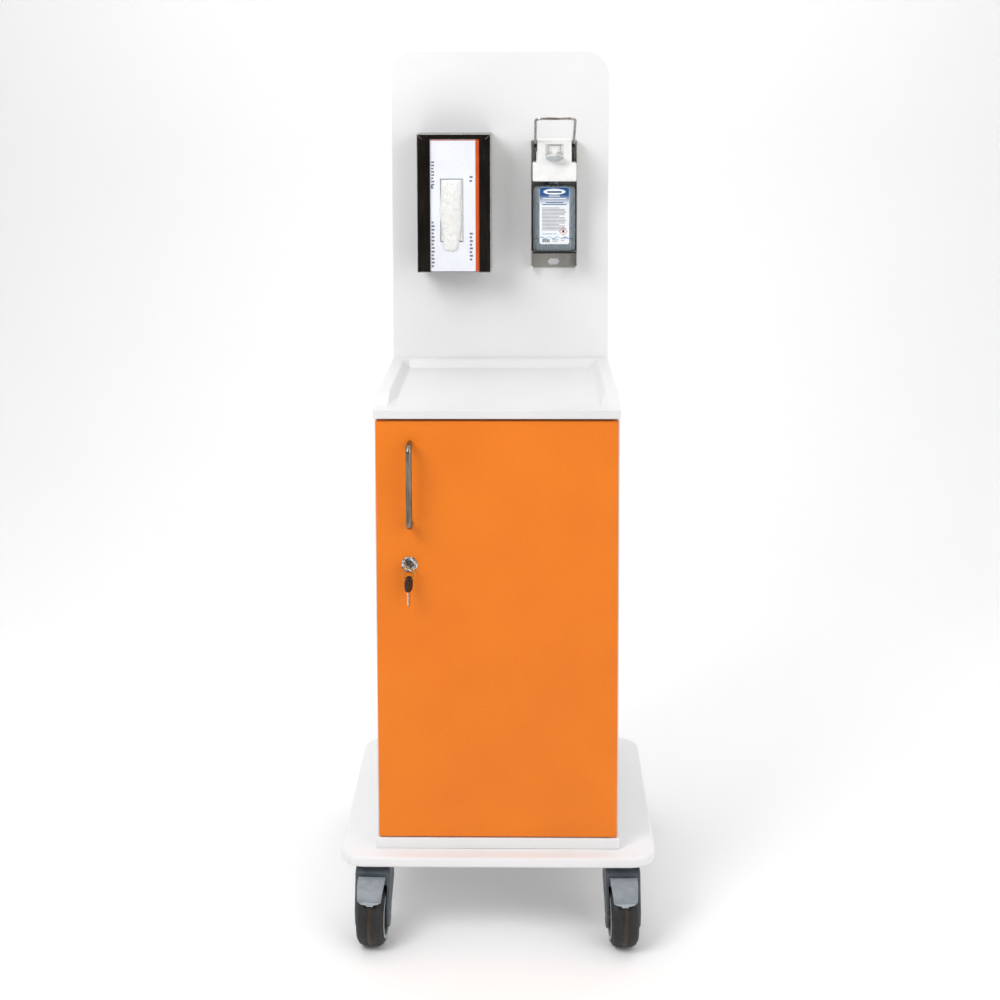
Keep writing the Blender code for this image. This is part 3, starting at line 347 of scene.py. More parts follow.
def make_finishes(colours):
    """Every finish of the cabinet, by the name of what it is made of."""
    made = {
        # Melamine-faced board, pressed smooth: near-white satin, and only just uneven.
        "melamine": grained("melamine_board_pressed_white", colours.board_dark, colours.board_light, 1.6,
                            rough=(0.38, 0.5), depth_mm=0.002, cloud_mm=140, IOR=1.5),
        # Vacuum-formed acrylic: whiter and closer than the boards, with soft wide reflections.
        "tray": grained("acrylic_sheet_formed", "#d8d8d8", "#dededf", 1.6, rough=(0.3, 0.42),
                        depth_mm=0.002, cloud_mm=90, IOR=1.49, Coat_Weight=0.15, Coat_Roughness=0.25),
        # High-pressure laminate with a fine stipple: a deep orange that breaks up softly in the light.
        # Such a stipple is finer in life; it is drawn at 2.2 mm so that it shows from a room away.
        "laminate": grained("orange_laminate_stippled", colours.door_dark, colours.door_light, 2.2,
                            rough=(0.42, 0.56), depth_mm=0.05, cloud_mm=120, IOR=1.5,
                            Specular_IOR_Level=0.35),
        # Zinc-plated pressed steel: cool grey with a cloudy, half-bright skin.
        "zinc": grained("steel_zinc_plated", "#8d9296", "#c2c6c9", 4, rough=(0.28, 0.46),
                        depth_mm=0.02, cloud_mm=15, Metallic=1.0),
        # Satin nickel on steel rod, brushed along its length: warm grey that smears the light.
        "nickel": grained("nickel_satin_brushed", "#5f5b52", "#9a958a", 1.4, stretch=(1, 1, 0.05),
                          rough=(0.2, 0.32), depth_mm=0.01, cloud_mm=40, Metallic=1.0),
        # Bright chromium on a die casting: sharp reflections with a trace of handling haze.
        "chrome": grained("chromium_bright_plated", "#45433f", "#e9eaea", 3.0, rough=(0.06, 0.15),
                          depth_mm=0.004, cloud_mm=6, Metallic=1.0),
        # Nickel silver key, tumbled: pale and slightly yellow, worn soft.
        "key": grained("nickel_silver_tumbled", "#b9b4a8", "#e2dfd6", 0.8, rough=(0.18, 0.32),
                       depth_mm=0.012, cloud_mm=5, Metallic=1.0),
        # Brass wire, drawn: thin gold line with bright sides.
        "brass": grained("brass_wire_drawn", "#a87b35", "#dcb466", 0.6, rough=(0.2, 0.34),
                         depth_mm=0.006, cloud_mm=4, Metallic=1.0),
        # Stainless steel sheet and rod with a ground finish: grey-brown, streaked across the bend.
        "stainless": grained("stainless_steel_ground", "#a5a29d", "#bab7b2", 0.9, stretch=(0.05, 1, 1),
                             rough=(0.4, 0.5), depth_mm=0.006, cloud_mm=25, Metallic=1.0),
        # Acetal mouldings, black: close and waxy, with a faint spark grain.
        "black": grained("acetal_moulded_black", "#0c0c0d", "#1c1d1f", 0.9, rough=(0.28, 0.42),
                         depth_mm=0.02, cloud_mm=9, IOR=1.48),
        # Sheet steel, enamelled brown-black and bent: dark gloss with long faint streaks.
        "enamel": grained("steel_sheet_enamelled_dark", "#0c0906", "#17110c", 1.6, stretch=(1, 1, 0.05),
                          rough=(0.14, 0.3), depth_mm=0.01, cloud_mm=45, IOR=1.52, Coat_Weight=0.2,
                          Coat_Roughness=0.15, Specular_IOR_Level=0.35),
        # Pale steel grey for the sheet's outer edges: painted highlight where the bent edges catch the light.
        "edge_highlight_steel": grained("steel_edge_painted_highlight", "#8f8a84", "#cfccc8", 1.0, rough=(0.3, 0.5),
                              depth_mm=0.02, cloud_mm=12, Metallic=0.6),
        # Clay-coated carton board, calendered: bluish white with the faintest fibre.
        "board": grained("carton_board_coated", "#dfe1e9", "#e9ebf2", 1.8, stretch=(1, 1, 0.3),
                         rough=(0.42, 0.56), depth_mm=0.015, cloud_mm=50, IOR=1.5),
        # Offset ink on that board: flat colours that sit in the same sheen.
        "ink_orange": grained("ink_offset_orange", colours.stripe_dark, colours.stripe_light, 1.6,
                              rough=(0.4, 0.55), depth_mm=0.01, cloud_mm=30, IOR=1.5),
        "ink_slate": grained("ink_offset_slate", "#5d5a62", "#74717a", 1.4, rough=(0.4, 0.55),
                             depth_mm=0.01, cloud_mm=20, IOR=1.5),
        "ink_teal": grained("ink_offset_teal", "#2f8f8c", "#46a5a0", 1.4, rough=(0.4, 0.55),
                            depth_mm=0.01, cloud_mm=20, IOR=1.5),
        "ink_blue": grained("ink_offset_blue", "#5f9fc8", "#86badb", 1.4, rough=(0.4, 0.55),
                            depth_mm=0.01, cloud_mm=14, IOR=1.5),
        "ink_red": grained("ink_offset_red", "#c23a2c", "#d2503f", 1.2, rough=(0.4, 0.55),
                           depth_mm=0.01, cloud_mm=12, IOR=1.5),
        # Paper label, satin laminated: clean white that catches a soft sheen.
        "label": grained("label_paper_laminated", "#e3e7ea", "#f0f2f4", 1.2, rough=(0.3, 0.42),
                         depth_mm=0.008, cloud_mm=20, IOR=1.5),
        # ABS mouldings, white, etched finely: bright with a broad soft shine.
        "white": grained("abs_moulded_white", "#e4e4e2", "#f2f2f0", 1.2, rough=(0.3, 0.42),
                         depth_mm=0.012, cloud_mm=20, IOR=1.53),
        # ABS moulding, grey: the spout's shield, matt and a little cloudy; its mid grey is partly painted
        # shade from the shield's underside.
        "grey": grained("abs_grey_with_painted_shade", "#9a9da0", "#b3b6b8", 1.2, rough=(0.34, 0.48),
                        depth_mm=0.012, cloud_mm=12, IOR=1.53),
        # Glass-filled nylon, blue-grey: castor hoods with a dry, slightly mottled skin.
        "nylon": grained("nylon_glass_filled_slate", colours.hood_dark, colours.hood_light, 1.5,
                         rough=(0.36, 0.52), depth_mm=0.03, cloud_mm=14, IOR=1.53),
        # The same nylon in a paler grey for the brake pedals, rubbed by shoes.
        "pedal": grained("nylon_glass_filled_grey", "#737b81", "#8d959b", 1.6, rough=(0.34, 0.55),
                         depth_mm=0.03, cloud_mm=11, IOR=1.53),
        # Thermoplastic rubber tyre: near-black, dusty, and very finely scuffed round its face.
        "rubber": grained("rubber_tyre_moulded", "#0f1011", "#1f2022", 1.3, rough=(0.5, 0.72),
                          depth_mm=0.04, cloud_mm=10, IOR=1.5),
        # The worn middle of the tyre, browned by floor wax.
        "tread": grained("rubber_tread_worn", "#1d130b", "#352515", 1.4, rough=(0.36, 0.56),
                         depth_mm=0.03, cloud_mm=8, IOR=1.5),
    }
    # The same steel rod polished: lever bar, bright in the middle and dark where it turns away.
    made["polished"] = grained("stainless_steel_polished", "#5f5b56", "#c4c1bc", 0.8, stretch=(0.05, 1, 1),
                               rough=(0.12, 0.22), depth_mm=0.006, cloud_mm=16, Metallic=1.0)
    # Polypropylene, pale grey: hub rings inside the tyres, smooth and slightly waxy.
    made["cheek"] = grained("polypropylene_moulded_pale", "#8e999f", "#a9b2b7", 1.5, rough=(0.34, 0.46),
                            depth_mm=0.012, cloud_mm=10, IOR=1.49)
    made["ink_blue_deep"] = grained("ink_offset_deep_blue", "#123a63", "#1d5184", 1.4, rough=(0.36, 0.5),
                                    depth_mm=0.01, cloud_mm=12, IOR=1.5)
    made["ink_fade"] = fading_ink()
    made["vinyl"] = vinyl_film()
    made["bottle"] = bottle_wall()
    made["liquid"] = hand_rub()
    return made


def fading_ink():
    """Offset ink on the label: deep blue at the head, thinning to bare paper lower down."""
    material, tree, shader = surface("ink_offset_blue_fade", IOR=1.5)
    place = node(tree, "ShaderNodeTexCoord").outputs["Object"]
    height = node(tree, "ShaderNodeSeparateXYZ", inputs={"Vector": place}).outputs["Z"]
    top = hi("bottle").z - 9 * MM
    fall = node(tree, "ShaderNodeMapRange", inputs={
        "Value": height, "From Min": top - 34 * MM, "From Max": top})
    screen = node(tree, "ShaderNodeTexNoise", inputs={
        "Vector": place, "Scale": 1 / (1.4 * MM), "Detail": 2.0})
    dots = node(tree, "ShaderNodeMath", {"operation": "MULTIPLY_ADD"}, {
        0: screen.outputs["Fac"], 1: 0.12, 2: fall.outputs["Result"]})
    ramp = node(tree, "ShaderNodeValToRGB", inputs={"Fac": dots.outputs["Value"]})
    ramp.color_ramp.elements[0].position = 0.08
    ramp.color_ramp.elements[0].color = linear("#e9eef2")
    ramp.color_ramp.elements[1].position = 0.62
    ramp.color_ramp.elements[1].color = linear("#1b5288")
    gloss = node(tree, "ShaderNodeMapRange", inputs={
        "Value": screen.outputs["Fac"], "From Min": 0.3, "From Max": 0.7, "To Min": 0.32, "To Max": 0.44})
    tree.links.new(ramp.outputs["Color"], shader.inputs["Base Color"])
    tree.links.new(gloss.outputs["Result"], shader.inputs["Roughness"])
    return material


def vinyl_film():
    """Dipped vinyl glove: milky and thin, with fine wrinkles that catch the light."""
    material, tree, shader = surface(
        "vinyl_dipped_film", IOR=1.54, Subsurface_Weight=0.2, Subsurface_Scale=0.003)
    place = node(tree, "ShaderNodeTexCoord").outputs["Object"]
    folds = node(tree, "ShaderNodeTexNoise", inputs={
        "Vector": place, "Scale": 1 / (7 * MM), "Detail": 5.0, "Distortion": 1.2})
    creases = node(tree, "ShaderNodeTexNoise", {"noise_type": "RIDGED_MULTIFRACTAL"}, inputs={
        "Vector": place, "Scale": 1 / (16 * MM), "Detail": 3.0})
    ramp = node(tree, "ShaderNodeValToRGB", inputs={"Fac": folds.outputs["Fac"]})
    ramp.color_ramp.elements[0].position = 0.3
    ramp.color_ramp.elements[0].color = linear("#d6d6d3")
    ramp.color_ramp.elements[1].position = 0.62
    ramp.color_ramp.elements[1].color = linear("#e9e9e7")
    gloss = node(tree, "ShaderNodeMapRange", inputs={
        "Value": folds.outputs["Fac"], "From Min": 0.3, "From Max": 0.7, "To Min": 0.3, "To Max": 0.5})
    fine = node(tree, "ShaderNodeBump", inputs={
        "Height": folds.outputs["Fac"], "Distance": 0.25 * MM, "Strength": 0.5})
    ridged = node(tree, "ShaderNodeBump", inputs={
        "Height": creases.outputs["Fac"], "Distance": 0.3 * MM, "Strength": 0.4,
        "Normal": fine.outputs["Normal"]})
    tree.links.new(ramp.outputs["Color"], shader.inputs["Base Color"])
    tree.links.new(gloss.outputs["Result"], shader.inputs["Roughness"])
    tree.links.new(ridged.outputs["Normal"], shader.inputs["Normal"])
    return material


def bottle_wall():
    """Blow-moulded HDPE, natural: blue-grey and cloudy, with painted shade that darkens the wall where it
    turns away from view.
    """
    material, tree, shader = surface(
        "hdpe_blow_moulded", IOR=1.54, Transmission_Weight=0.25, Subsurface_Weight=0.25,
        Subsurface_Scale=0.006)
    place = node(tree, "ShaderNodeTexCoord").outputs["Object"]
    flow = node(tree, "ShaderNodeMapping", inputs={"Vector": place, "Scale": (1, 1, 0.15)})
    streak = node(tree, "ShaderNodeTexNoise", inputs={
        "Vector": flow.outputs["Vector"], "Scale": 1 / (5 * MM), "Detail": 3.0})
    # Painted shade: the facing term darkens the colour towards the bottle's silhouette; the streaks are the
    # wall's own cloudiness.
    facing = node(tree, "ShaderNodeLayerWeight", inputs={"Blend": 0.35})
    streaks_and_edge_shade = node(tree, "ShaderNodeMath", {"operation": "MULTIPLY_ADD", "use_clamp": True}, {
        0: streak.outputs["Fac"], 1: 0.12, 2: facing.outputs["Facing"]})
    ramp = node(tree, "ShaderNodeValToRGB", inputs={"Fac": streaks_and_edge_shade.outputs["Value"]})
    ramp.color_ramp.elements[0].position = 0.1
    ramp.color_ramp.elements[0].color = linear("#87939b")
    ramp.color_ramp.elements[1].position = 0.9
    ramp.color_ramp.elements[1].color = linear("#4a545b")
    gloss = node(tree, "ShaderNodeMapRange", inputs={
        "Value": streak.outputs["Fac"], "From Min": 0.3, "From Max": 0.7, "To Min": 0.2, "To Max": 0.36})
    wall = node(tree, "ShaderNodeBump", inputs={
        "Height": streak.outputs["Fac"], "Distance": 0.03 * MM, "Strength": 0.3})
    tree.links.new(ramp.outputs["Color"], shader.inputs["Base Color"])
    tree.links.new(gloss.outputs["Result"], shader.inputs["Roughness"])
    tree.links.new(wall.outputs["Normal"], shader.inputs["Normal"])
    return material


def hand_rub():
    """Clear alcohol gel behind the bottle's wall: a slightly darker, cooler fill with slow swirls."""
    material, tree, shader = surface("gel_clear", IOR=1.36, Transmission_Weight=0.2, Roughness=0.12)
    place = node(tree, "ShaderNodeTexCoord").outputs["Object"]
    swirl = node(tree, "ShaderNodeTexNoise", inputs={
        "Vector": place, "Scale": 1 / (14 * MM), "Detail": 2.0, "Distortion": 0.8})
    ramp = node(tree, "ShaderNodeValToRGB", inputs={"Fac": swirl.outputs["Fac"]})
    ramp.color_ramp.elements[0].color = linear("#4b5963")
    ramp.color_ramp.elements[1].color = linear("#62727d")
    tree.links.new(ramp.outputs["Color"], shader.inputs["Base Color"])
    return material


FINISH = {}    # filled by the finishes operator, which runs before the others


# ---------------------------------------------------------------- boards and door
def make_boards():
    """The white boards of the body, shelf and base, and the pins that carry the shelf."""
    paint(FINISH["melamine"], "base_board", "cabinet_floor", "side_panel_left", "side_panel_right",
          "back_panel", "cabinet_roof", "shelf")
    paint(FINISH["zinc"], "shelf_pin_front_left", "shelf_pin_front_right", "shelf_pin_rear_left",
          "shelf_pin_rear_right")


def make_door():
    """The orange door with its bow handle, handle screws and concealed hinges."""
    paint(FINISH["laminate"], "door")
    paint(FINISH["nickel"], "bow_handle", "hinge_cup_lower", "hinge_cup_upper", "hinge_arm_lower",
          "hinge_arm_upper")
    paint(FINISH["zinc"], "handle_screw_lower", "handle_screw_upper")


def make_tray():
    """The moulded tray top."""
    paint(FINISH["tray"], "tray_top")


def make_lock():
    """The cam lock, the key in it and the key that hangs from its ring."""
    paint(FINISH["chrome"], "lock_body", "lock_plug", "lock_nut")
    paint(FINISH["zinc"], "lock_cam", "lock_strike")
    paint(FINISH["key"], "key_in_lock", "spare_key_blade")
    paint(FINISH["brass"], "key_ring")
    paint(FINISH["black"], "spare_key_head")


# ---------------------------------------------------------------- glove holder
def join_meshes(parts):
    """Pour several bmeshes into one."""
    whole = bmesh.new()
    for part in parts:
        mesh = bpy.data.meshes.new("part")
        part.to_mesh(mesh)
        part.free()
        whole.from_mesh(mesh)
        bpy.data.meshes.remove(mesh)
    return whole


def strip(name, boxes, material, body, edge=0.0):
    """One piece made of several thin plates, each given by its low and high corner."""
    obj = piece(name, join_meshes([box_mesh(low, high) for low, high in boxes]))
    if edge:
        soften(obj, edge, 2)
    return put(obj, body, material)


def holder_edges(sizes):
    """Painted highlights as pale strips round the holder's flanges, along the mitres of its top lip and over
    its right side; dark rounded edges inside the flanges.
    """
    low, high = lo("glove_holder"), hi("glove_holder")
    r = sizes.edge_line / 2
    face = low.y + r * 0.4
    left, right = low.x + HOLDER_FLANGE_L, high.x - HOLDER_FLANGE_R
    lip = high.z - HOLDER_LIP
    runs = [
        [(low.x + r, face, low.z), (low.x + r, face, high.z)],
        [(high.x - r, face, low.z), (high.x - r, face, high.z)],
        [(low.x, face, high.z - r), (high.x, face, high.z - r)],
        [(low.x, face, low.z + r), (left, face, low.z + r)],
        [(right, face, low.z + r), (high.x, face, low.z + r)],
    ]
    # Painted highlight: pale strips along the flanges' outer edges, across the top and along the foot.
    outer = join_meshes([rod(run, r, 12) for run in runs])
    put(piece("holder_edge_highlights", outer, 60), "cabinet", FINISH["edge_highlight_steel"])
    inner = [
        [(left, face, low.z), (left, face, lip)],
        [(right, face, low.z), (right, face, lip)],
        [(left, face, lip), (right, face, lip)],
    ]
    folds = join_meshes([rod(run, r * 0.7, 12) for run in inner])
    put(piece("holder_inner_edges", folds, 60), "cabinet", FINISH["enamel"])
    # Painted highlight along the two mitres of the top lip.
    mitres = [[(low.x + 1 * MM, face, high.z - 1 * MM), (low.x + HOLDER_LIP, face, lip)],
              [(high.x - 1 * MM, face, high.z - 1 * MM), (high.x - HOLDER_LIP, face, lip)]]
    mitre_highlights = join_meshes([rod(run, r * 0.55, 10) for run in mitres])
    put(piece("holder_mitre_highlights", mitre_highlights, 60), "cabinet", FINISH["edge_highlight_steel"])
    # Painted highlight: a pale film over the holder's whole right side.
    side = [((high.x - 0.1 * MM, low.y + 0.5 * MM, low.z + 0.5 * MM),
             (high.x + 0.25 * MM, high.y - 1 * MM, high.z - 0.5 * MM))]
    strip("holder_side_highlight", side, FINISH["edge_highlight_steel"], "cabinet", 0.1 * MM)


def carton_print():
    """Printed stripe, top line and plain marks on the carton; no words."""
    low, high = lo("glove_carton"), hi("glove_carton")
    front = low.y
    ink = 0.12 * MM
    stripe_low = high.x - 24.1 * MM
    strip("carton_stripe", [((stripe_low, front - ink, low.z + 0.3 * MM),
                             (stripe_low + 9.9 * MM, front, high.z - 0.3 * MM))],
          FINISH["ink_orange"], "cabinet")
    strip("carton_top_line", [((low.x + 0.5 * MM, front - ink, high.z - 5.4 * MM),
                               (stripe_low - 0.2 * MM, front, high.z - 4.0 * MM))],
          FINISH["ink_orange"], "cabinet")
    marks = []
    column = low.x + 22.5 * MM
    for start, count, size in ((8, 13, 5.2), (150, 9, 4.4)):
        for i in range(count):
            z = low.z + (start + i * (size + 1.4)) * MM
            width = (5.2 if i % 3 else 3.8) * MM
            marks.append(((column, front - ink, z), (column + width, front, z + size * 0.62 * MM)))
    column = stripe_low - 10.5 * MM
    for start, count, size in ((20, 8, 5.4), (162, 2, 5.8)):
        for i in range(count):
            z = low.z + (start + i * (size + 1.3)) * MM
            width = (5.6 if i % 2 else 4.2) * MM
            marks.append(((column, front - ink, z), (column + width, front, z + size * 0.62 * MM)))
    strip("carton_bar_marks", marks, FINISH["ink_slate"], "cabinet")
    at = low.x + 21.5 * MM
    square = 3.4 * MM
    foot = low.z + 152 * MM
    strip("carton_square", [((at, front - ink, foot), (at + square, front, foot + square))],
          FINISH["ink_teal"], "cabinet")


def carton_mouth(tab):
    """Torn perforation tabs round the carton's mouth."""
    front = lo("glove_carton").y
    cx, cz = MOUTH_X, MOUTH_Z
    half_w, half_h = MOUTH_W / 2, MOUTH_H / 2
    deep, proud, out, pitch = 0.4 * MM, 0.05 * MM, 1.0 * MM, 4.2 * MM
    boxes = []
    for side in (-1, 1):
        count = int(MOUTH_H / pitch)
        for i in range(count):
            z = cz - half_h + (i + 0.5) * MOUTH_H / count
            edge = cx + side * half_w
            inner = edge - side * out
            boxes.append(((min(edge, inner), front - proud, z - tab / 2),
                          (max(edge, inner), front + deep, z + tab / 2)))
        count = int(MOUTH_W / pitch)
        for i in range(count):
            x = cx - half_w + (i + 0.5) * MOUTH_W / count
            edge = cz + side * half_h
            inner = edge - side * out
            boxes.append(((x - tab / 2, front - proud, min(edge, inner)),
                          (x + tab / 2, front + deep, max(edge, inner))))
    strip("carton_perforation_tabs", boxes, FINISH["board"], "cabinet")


# Outline of the glove that comes out first: height above the mouth's lower edge, its left edge
# and its right edge from the mouth's middle, all in millimetres.
GLOVE_OUTLINE = [(-17.4, -4.5, 1.5), (-16.4, -9.5, 6.5), (-13.5, -13.0, 9.8), (-8.0, -15.0, 11.5),
                 (0.0, -15.8, 13.6), (12.0, -17.0, 15.8), (26.0, -18.6, 17.6), (44.0, -21.6, 18.2),
                 (60.0, -23.2, 17.0), (74.0, -21.2, 17.2), (90.0, -20.2, 18.4), (104.0, -19.4, 18.8),
                 (113.5, -17.8, 17.6)]


def along_outline(height):
    """Left and right edge of the glove at a height, eased between the outline's points."""
    for (z0, l0, r0), (z1, l1, r1) in zip(GLOVE_OUTLINE, GLOVE_OUTLINE[1:]):
        if height <= z1:
            t = smoothstep(z0, z1, height) * 0.5 + 0.5 * (height - z0) / (z1 - z0)
            return l0 + (l1 - l0) * t, r0 + (r1 - r0) * t
    return GLOVE_OUTLINE[-1][1:]


def folds(x, z, seed):
    """Depth of the crumples at a place, in millimetres: long pleats, cross creases, fine wrinkles."""
    bend = 5 * noise.noise(Vector((x / 30, z / 34, seed)))
    pleat = 1 - abs(noise.noise(Vector(((x + bend) / 7.5, z / 30, seed + 3)))) * 2.2
    cross = 1 - abs(noise.noise(Vector((x / 18, (z + 0.6 * x) / 10, seed + 9)))) * 2.4
    fine = noise.noise(Vector((x / 3.2, z / 5.0, seed + 20)))
    return 1.5 * pleat + 0.9 * cross + 0.25 * fine


def glove_front():
    """The first glove, pulled half out: its palm fills the mouth and a finger hangs below it."""
    front = lo("glove_carton").y
    foot = MOUTH_Z - MOUTH_H / 2
    first, last = GLOVE_OUTLINE[0][0], GLOVE_OUTLINE[-1][0]
    rows, across = 96, 44
    sections = []
    for j in range(rows + 1):
        height = first + (last - first) * j / rows
        left, right = along_outline(height)
        ends = min(1.0, (height - first) / 5.0 + 0.12, (last - height) / 6.0 + 0.12)
        proud = (4.6 - 1.2 * smoothstep(60, 110, height)) * ends
        back = 0.25 if height < 1.0 else 0.25 - 3.2 * smoothstep(1.0, 9.0, height)
        near, far = [], []
        for i in range(across + 1):
            u = i / across
            x = left + (right - left) * u
            dome = max(0.0, 1 - abs(2 * u - 1) ** 3.2) ** 0.55
            out = back + 0.5 * ends + dome * (proud - back - 1.0 + 0.9 * folds(x, height, 1.0) * ends)
            near.append(Vector((MOUTH_X + x * MM, front - max(out, back + 0.3) * MM, foot + height * MM)))
            far.append(Vector((MOUTH_X + x * MM, front - back * MM, foot + height * MM)))
        sections.append(near + far[::-1])
    return loft(sections)


def glove_stack():
    """The gloves behind it: a crumpled layer just inside the mouth, edge to edge."""
    front = lo("glove_carton").y
    foot = MOUTH_Z - MOUTH_H / 2
    rows, across = 70, 30
    sections = []
    for j in range(rows + 1):
        height = 0.8 + (MOUTH_H / MM - 1.6) * j / rows
        near, far = [], []
        for i in range(across + 1):
            x = (i / across - 0.5) * (MOUTH_W / MM - 1.2)
            depth = 3.4 - 0.8 * folds(x, height, 40.0)
            near.append(Vector((MOUTH_X + x * MM, front + max(depth, 0.6) * MM, foot + height * MM)))
            far.append(Vector((MOUTH_X + x * MM, front + 8 * MM, foot + height * MM)))
        sections.append(near + far[::-1])
    return loft(sections)


def make_holder(sizes):
    """The dark sheet holder, the glove carton in it and the first glove."""
    paint(FINISH["enamel"], "glove_holder")
    paint(FINISH["board"], "glove_carton")
    holder_edges(sizes)
    carton_print()
    carton_mouth(sizes.mouth_tab)
    obj = piece("glove_vinyl_crumpled", join_meshes([glove_front(), glove_stack()]), 180)
    mod = obj.modifiers.new("skin", "SUBSURF")
    mod.levels = 1
    mod.render_levels = 1
    settle(obj)
    put(obj, "cabinet", FINISH["vinyl"], ["glove"])


# ---------------------------------------------------------------- dispenser
def housing_detail():
    """Sloping cheeks in the pocket, a lower inset panel, a top cap and hooks under the pivots."""
    low, high = lo("pump_housing"), hi("pump_housing")
    cx = (low.x + high.x) / 2
    front = low.y
    pocket_low, pocket_high = high.z - 30.4 * MM, high.z - 7.5 * MM
    outer = [(cx - 17.2 * MM, pocket_low), (cx + 17.2 * MM, pocket_low),
             (cx + 17.2 * MM, pocket_high), (cx - 17.2 * MM, pocket_high)]
    inner = [(cx - 10.6 * MM, pocket_low + 4.6 * MM), (cx + 10.6 * MM, pocket_low + 4.6 * MM),
             (cx + 10.6 * MM, pocket_high - 3.0 * MM), (cx - 10.6 * MM, pocket_high - 3.0 * MM)]
    bm = bmesh.new()
    near = [bm.verts.new((x, front - 0.2 * MM, z)) for x, z in outer]
    edge = [bm.verts.new((cx + (x - cx) * 0.97, front + 0.1 * MM, z)) for x, z in outer]
    far = [bm.verts.new((x, front + 8.5 * MM, z)) for x, z in inner]
    for a, b in ((near, edge), (edge, far)):
        for i in range(4):
            n = (i + 1) % 4
            bm.faces.new([a[i], a[n], b[n], b[i]])
    bm.faces.new(far)
    obj = piece("pocket_cheeks", bm, 20)
    put(soften(obj, 0.5 * MM, 2, 20), "cabinet", FINISH["white"])

    panel_low, panel_high = low.z + 3.0 * MM, high.z - 44.5 * MM
    outline = round_rect(high.x - low.x - 7 * MM, panel_high - panel_low, [2.5 * MM] * 4, 6,
                         (cx, (panel_low + panel_high) / 2))
    plate = piece("housing_inset_panel", prism(outline, "XZ", front - 0.7 * MM, front + 0.2 * MM))
    put(soften(plate, 0.45 * MM, 3), "cabinet", FINISH["white"])

    cap = piece("housing_top_cap", box_mesh((cx - 29.6 * MM, front - 0.5 * MM, high.z - 2.0 * MM),
                                            (cx + 29.6 * MM, front + 30 * MM, high.z + 0.1 * MM)))
    put(soften(cap, 0.5 * MM, 3), "cabinet", FINISH["white"])

    hooks = []
    for side in (-1, 1):
        x = cx + side * 33.8 * MM
        top = high.z - 23 * MM
        route = [(x, front + 1 * MM, top), (x, front + 0.5 * MM, top - 10 * MM),
                 (x + side * 2.6 * MM, front + 0.5 * MM, top - 15.5 * MM),
                 (x + side * 3.6 * MM, front + 0.5 * MM, top - 12 * MM)]
        hooks.append(rod(bent(route, 1.6 * MM, 5), 0.75 * MM, 10))
    put(piece("lever_return_hooks", join_meshes(hooks), 60), "cabinet", FINISH["black"])


def spout_detail():
    """A lens-shaped chin under the pocket that carries the grey shield."""
    low, high = lo("spout_shield"), hi("spout_shield")
    cx = (low.x + high.x) / 2
    sections = []
    for t, y in ((1.0, low.y), (1.0, (low.y + high.y) / 2), (1.03, high.y)):
        half = 15.5 * MM * t
        top = high.z - 1.5 * MM
        points = [(cx + half * math.cos(math.radians(a)), top + 7.5 * MM * math.sin(math.radians(a)))
                  for a in range(180, 361, 10)]
        points += [(cx + half * math.cos(math.radians(a)), top + 2.2 * MM * math.sin(math.radians(a)))
                   for a in range(10, 180, 10)]
        sections.append([Vector((x, y, z)) for x, z in points])
    obj = piece("spout_chin", loft(sections), 30)
    # The chin's mid grey is partly the shield's own grey and partly painted shade from under the spout.
    put(soften(obj, 0.8 * MM, 3, 30), "cabinet", FINISH["grey"], ["spout_shield"])


def bottle_pieces(gel_level):
    """A blow-moulded bottle with rounded shoulders, the line of its gel, and its printed label."""
    low, high = lo("bottle"), hi("bottle")
    cx, cy = (low.x + high.x) / 2, (low.y + high.y) / 2
    half_w, half_d = (high.x - low.x) / 2, (high.y - low.y) / 2
    shoulder = high.z - 6.0 * MM
    levels = [(0.0, 0.90), (0.6, 0.94), (2.0, 0.975), (5.0, 0.995), (9.0, 1.0), (18.0, 1.0),
              (20.0, 0.985), (22.0, 1.0)]
    sections = []
    for rise, size in levels:
        sections.append((low.z + rise * MM, size))
    for t in range(1, 12):
        sections.append((low.z + 22 * MM + (shoulder - low.z - 34 * MM) * t / 12, 1.0))
    for drop, size in ((11.0, 1.0), (8.5, 0.99), (6.0, 0.96), (4.0, 0.91), (2.4, 0.83), (1.0, 0.70),
                       (0.2, 0.52), (-0.4, 0.34)):
        sections.append((shoulder - drop * MM, size))
    loops = []
    for z, size in sections:
        radius = 14 * MM * size
        loop = round_rect(2 * half_w * size, 2 * half_d * size, [radius] * 4, 8, (cx, cy))
        loops.append([Vector((x, y, z)) for x, y in loop])
    neck = 12.2 * MM
    for z in (shoulder + 0.6 * MM, shoulder + 5.6 * MM):
        count = len(loops[0])
        turn = [2 * math.pi * (i + 0.5) / count for i in range(count)]
        loops.append([Vector((cx + neck * math.cos(a), cy + neck * math.sin(a), z)) for a in turn])
    obj = piece("bottle_shell", loft(loops), 50)
    put(obj, "cabinet", FINISH["bottle"], ["bottle"])
    level = low.z + gel_level
    band = join_meshes([rod([(cx - half_w + 1.5 * MM, low.y - 0.02 * MM, level),
                             (cx + half_w - 1.5 * MM, low.y - 0.02 * MM, level)], 0.35 * MM, 8)])
    put(piece("gel_level_line", band, 60), "cabinet", FINISH["liquid"])
    label_pieces(cx, low.y, low.z + 13.6 * MM, low.z + 117.5 * MM)


